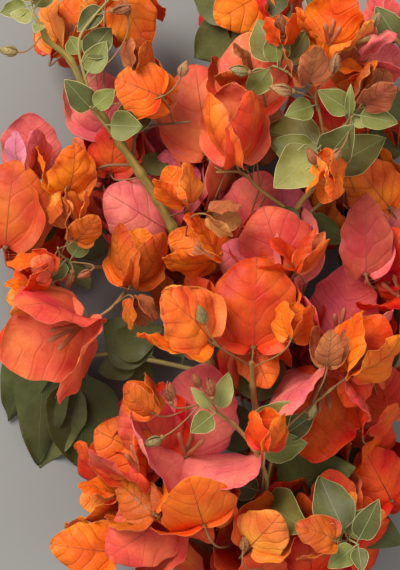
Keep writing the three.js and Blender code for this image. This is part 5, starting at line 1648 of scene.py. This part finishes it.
class BranchSizes(bpy.types.PropertyGroup):
    """Sizes of the branch that a user may change"""

    bract_thickness: bpy.props.FloatProperty(name="Bract thickness",
        description="Thickness of a bract at its middle", default=0.4 * MM, unit="LENGTH", precision=5)
    leaf_thickness: bpy.props.FloatProperty(name="Leaf thickness",
        description="Thickness of a leaf at its middle", default=0.42 * MM, unit="LENGTH", precision=5)
    midrib_radius: bpy.props.FloatProperty(name="Midrib radius",
        description="Radius of a midrib at its foot", default=0.27 * MM, unit="LENGTH", precision=5)
    margin_width: bpy.props.FloatProperty(name="Margin width",
        description="Thickness of the pale line round a blade", default=0.11 * MM, unit="LENGTH",
        precision=5)


class BranchColours(bpy.types.PropertyGroup):
    """Finish of the branch and the stage that a user may change"""

    bract_roughness: bpy.props.FloatProperty(name="Bract roughness",
        description="Roughness of a bract's skin", default=0.5, min=0, max=1, subtype="FACTOR")
    leaf_roughness: bpy.props.FloatProperty(name="Leaf roughness",
        description="Roughness of a leaf's waxy skin", default=0.45, min=0, max=1, subtype="FACTOR")
    bract_glow: bpy.props.FloatProperty(name="Light through bracts",
        description="How far light comes through a bract", default=0.35, min=0, max=1, subtype="FACTOR")
    floor: bpy.props.FloatVectorProperty(name="Floor", description="Colour of the floor", size=3,
        default=linear("#898680"), subtype="COLOR")


class BougainvilleaLimbs(bpy.types.Operator):
    """Stem, boughs and twigs with bark"""

    bl_idname = "bougainvillea.limbs"
    bl_label = "Stem and boughs"

    def execute(self, context):
        make_piece("stem_and_boughs", build_limbs(), list(LIMBS))
        return {"FINISHED"}


class BougainvilleaStalks(bpy.types.Operator):
    """Stalks of blooms and buds, and the sprays' stems"""

    bl_idname = "bougainvillea.stalks"
    bl_label = "Stalks"

    def execute(self, context):
        make_piece("bloom_stalks", build_stalks(), [])
        return {"FINISHED"}


class BougainvilleaBracts(bpy.types.Operator):
    """The coloured bracts of every bloom, a piece for each hue, with their veins, margins and buds;
    the margins' paler lines are a painted highlight
    """

    bl_idname = "bougainvillea.bracts"
    bl_label = "Bracts and buds"

    def execute(self, context):
        bracts, midribs, margins, buds = build_bracts()
        for hue, heap in bracts.items():
            nodes = [name for name, bloom in BLOOMS.items()
                if owner_of(name) == name and bloom["hue"] == hue]
            make_piece(f"bracts_{hue}", heap, nodes)
        make_piece("bract_midribs", midribs, [])
        make_piece("bract_margin_highlights", margins, [])
        make_piece("closed_buds", buds, [])
        return {"FINISHED"}


class BougainvilleaFlowers(bpy.types.Operator):
    """The slender flower tubes inside the bracts"""

    bl_idname = "bougainvillea.flowers"
    bl_label = "Flower tubes"

    def execute(self, context):
        make_piece("flower_tubes", build_flower_tubes(), [])
        return {"FINISHED"}


class BougainvilleaLeaves(bpy.types.Operator):
    """Leaves with their pale margins and midribs"""

    bl_idname = "bougainvillea.leaves"
    bl_label = "Leaves"

    def execute(self, context):
        blades, trim = build_leaves()
        make_piece("leaf_blades", blades, list(SPRAYS))
        make_piece("leaf_margins_and_midribs", trim, [])
        return {"FINISHED"}


class BougainvilleaStage(bpy.types.Operator):
    """Floor, soft light and the camera straight above"""

    bl_idname = "bougainvillea.stage"
    bl_label = "Stage"

    def execute(self, context):
        floor_colour = context.scene.branch_colours.floor
        bpy.ops.mesh.primitive_plane_add(size=FLOOR_SIZE, location=(0, 0, 0))
        floor = context.object
        floor.name = "floor"
        # Matt painted board, rolled on: an even pale ground with no gloss
        board = plain_material("matt painted board", floor_colour, FLOOR_ROUGHNESS)[0]
        floor.data.materials.append(board)
        camera_data = bpy.data.cameras.new("camera")
        camera_data.sensor_fit = "VERTICAL"
        camera_data.sensor_height = SENSOR
        camera_data.lens = SENSOR * CAMERA_DISTANCE / (PICTURE_HEIGHT * PIXEL)
        camera_data.clip_end = CAMERA_RANGE
        camera = bpy.data.objects.new("camera", camera_data)
        camera.location = (TO_FRAME + UP * (REFERENCE_HEIGHT + CAMERA_DISTANCE)) * MM
        context.scene.collection.objects.link(camera)
        context.scene.camera = camera
        for name, place, size, power in LAMPS:
            lamp_data = bpy.data.lights.new(name, "AREA")
            lamp_data.size = size
            lamp_data.energy = power
            lamp = bpy.data.objects.new(name, lamp_data)
            lamp.location = place
            lamp.rotation_euler = (-lamp.location).to_track_quat("-Z", "Y").to_euler()
            context.scene.collection.objects.link(lamp)
        world = bpy.data.worlds.new("soft daylight")
        world.use_nodes = True
        sky = world.node_tree.nodes["Background"]
        sky.inputs["Color"].default_value = (*linear(SKY_COLOUR), 1)
        sky.inputs["Strength"].default_value = SKY_STRENGTH
        context.scene.world = world
        # Colours show as they are, with no film curve that fades the strong reds
        context.scene.view_settings.view_transform = "Standard"
        return {"FINISHED"}


class BougainvilleaPanel(bpy.types.Panel):
    """Lists the branch's pieces and their settings"""

    bl_label = "Bougainvillea"
    bl_idname = "VIEW3D_PT_bougainvillea"
    bl_space_type = "VIEW_3D"
    bl_region_type = "UI"
    bl_category = "Bougainvillea"

    def draw(self, context):
        for group in (context.scene.branch_sizes, context.scene.branch_colours):
            for name in group.__annotations__:
                self.layout.prop(group, name)
        for operator in OPERATORS:
            self.layout.operator(operator.bl_idname)


OPERATORS = (BougainvilleaLimbs, BougainvilleaStalks, BougainvilleaBracts, BougainvilleaFlowers,
    BougainvilleaLeaves, BougainvilleaStage)
CLASSES = (BranchSizes, BranchColours, *OPERATORS, BougainvilleaPanel)


def register():
    """Adds the classes and the settings"""
    for made in CLASSES:
        bpy.utils.register_class(made)
    bpy.types.Scene.branch_sizes = bpy.props.PointerProperty(type=BranchSizes)
    bpy.types.Scene.branch_colours = bpy.props.PointerProperty(type=BranchColours)


def unregister():
    """Takes them out again"""
    del bpy.types.Scene.branch_colours
    del bpy.types.Scene.branch_sizes
    for made in reversed(CLASSES):
        bpy.utils.unregister_class(made)


def main():
    """Builds the pieces and the stage"""
    register()
    grow_routes()
    bpy.ops.bougainvillea.limbs()
    bpy.ops.bougainvillea.stalks()
    bpy.ops.bougainvillea.bracts()
    bpy.ops.bougainvillea.flowers()
    bpy.ops.bougainvillea.leaves()
    bpy.ops.bougainvillea.stage()
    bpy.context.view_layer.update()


if __name__ == "__main__":
    main()
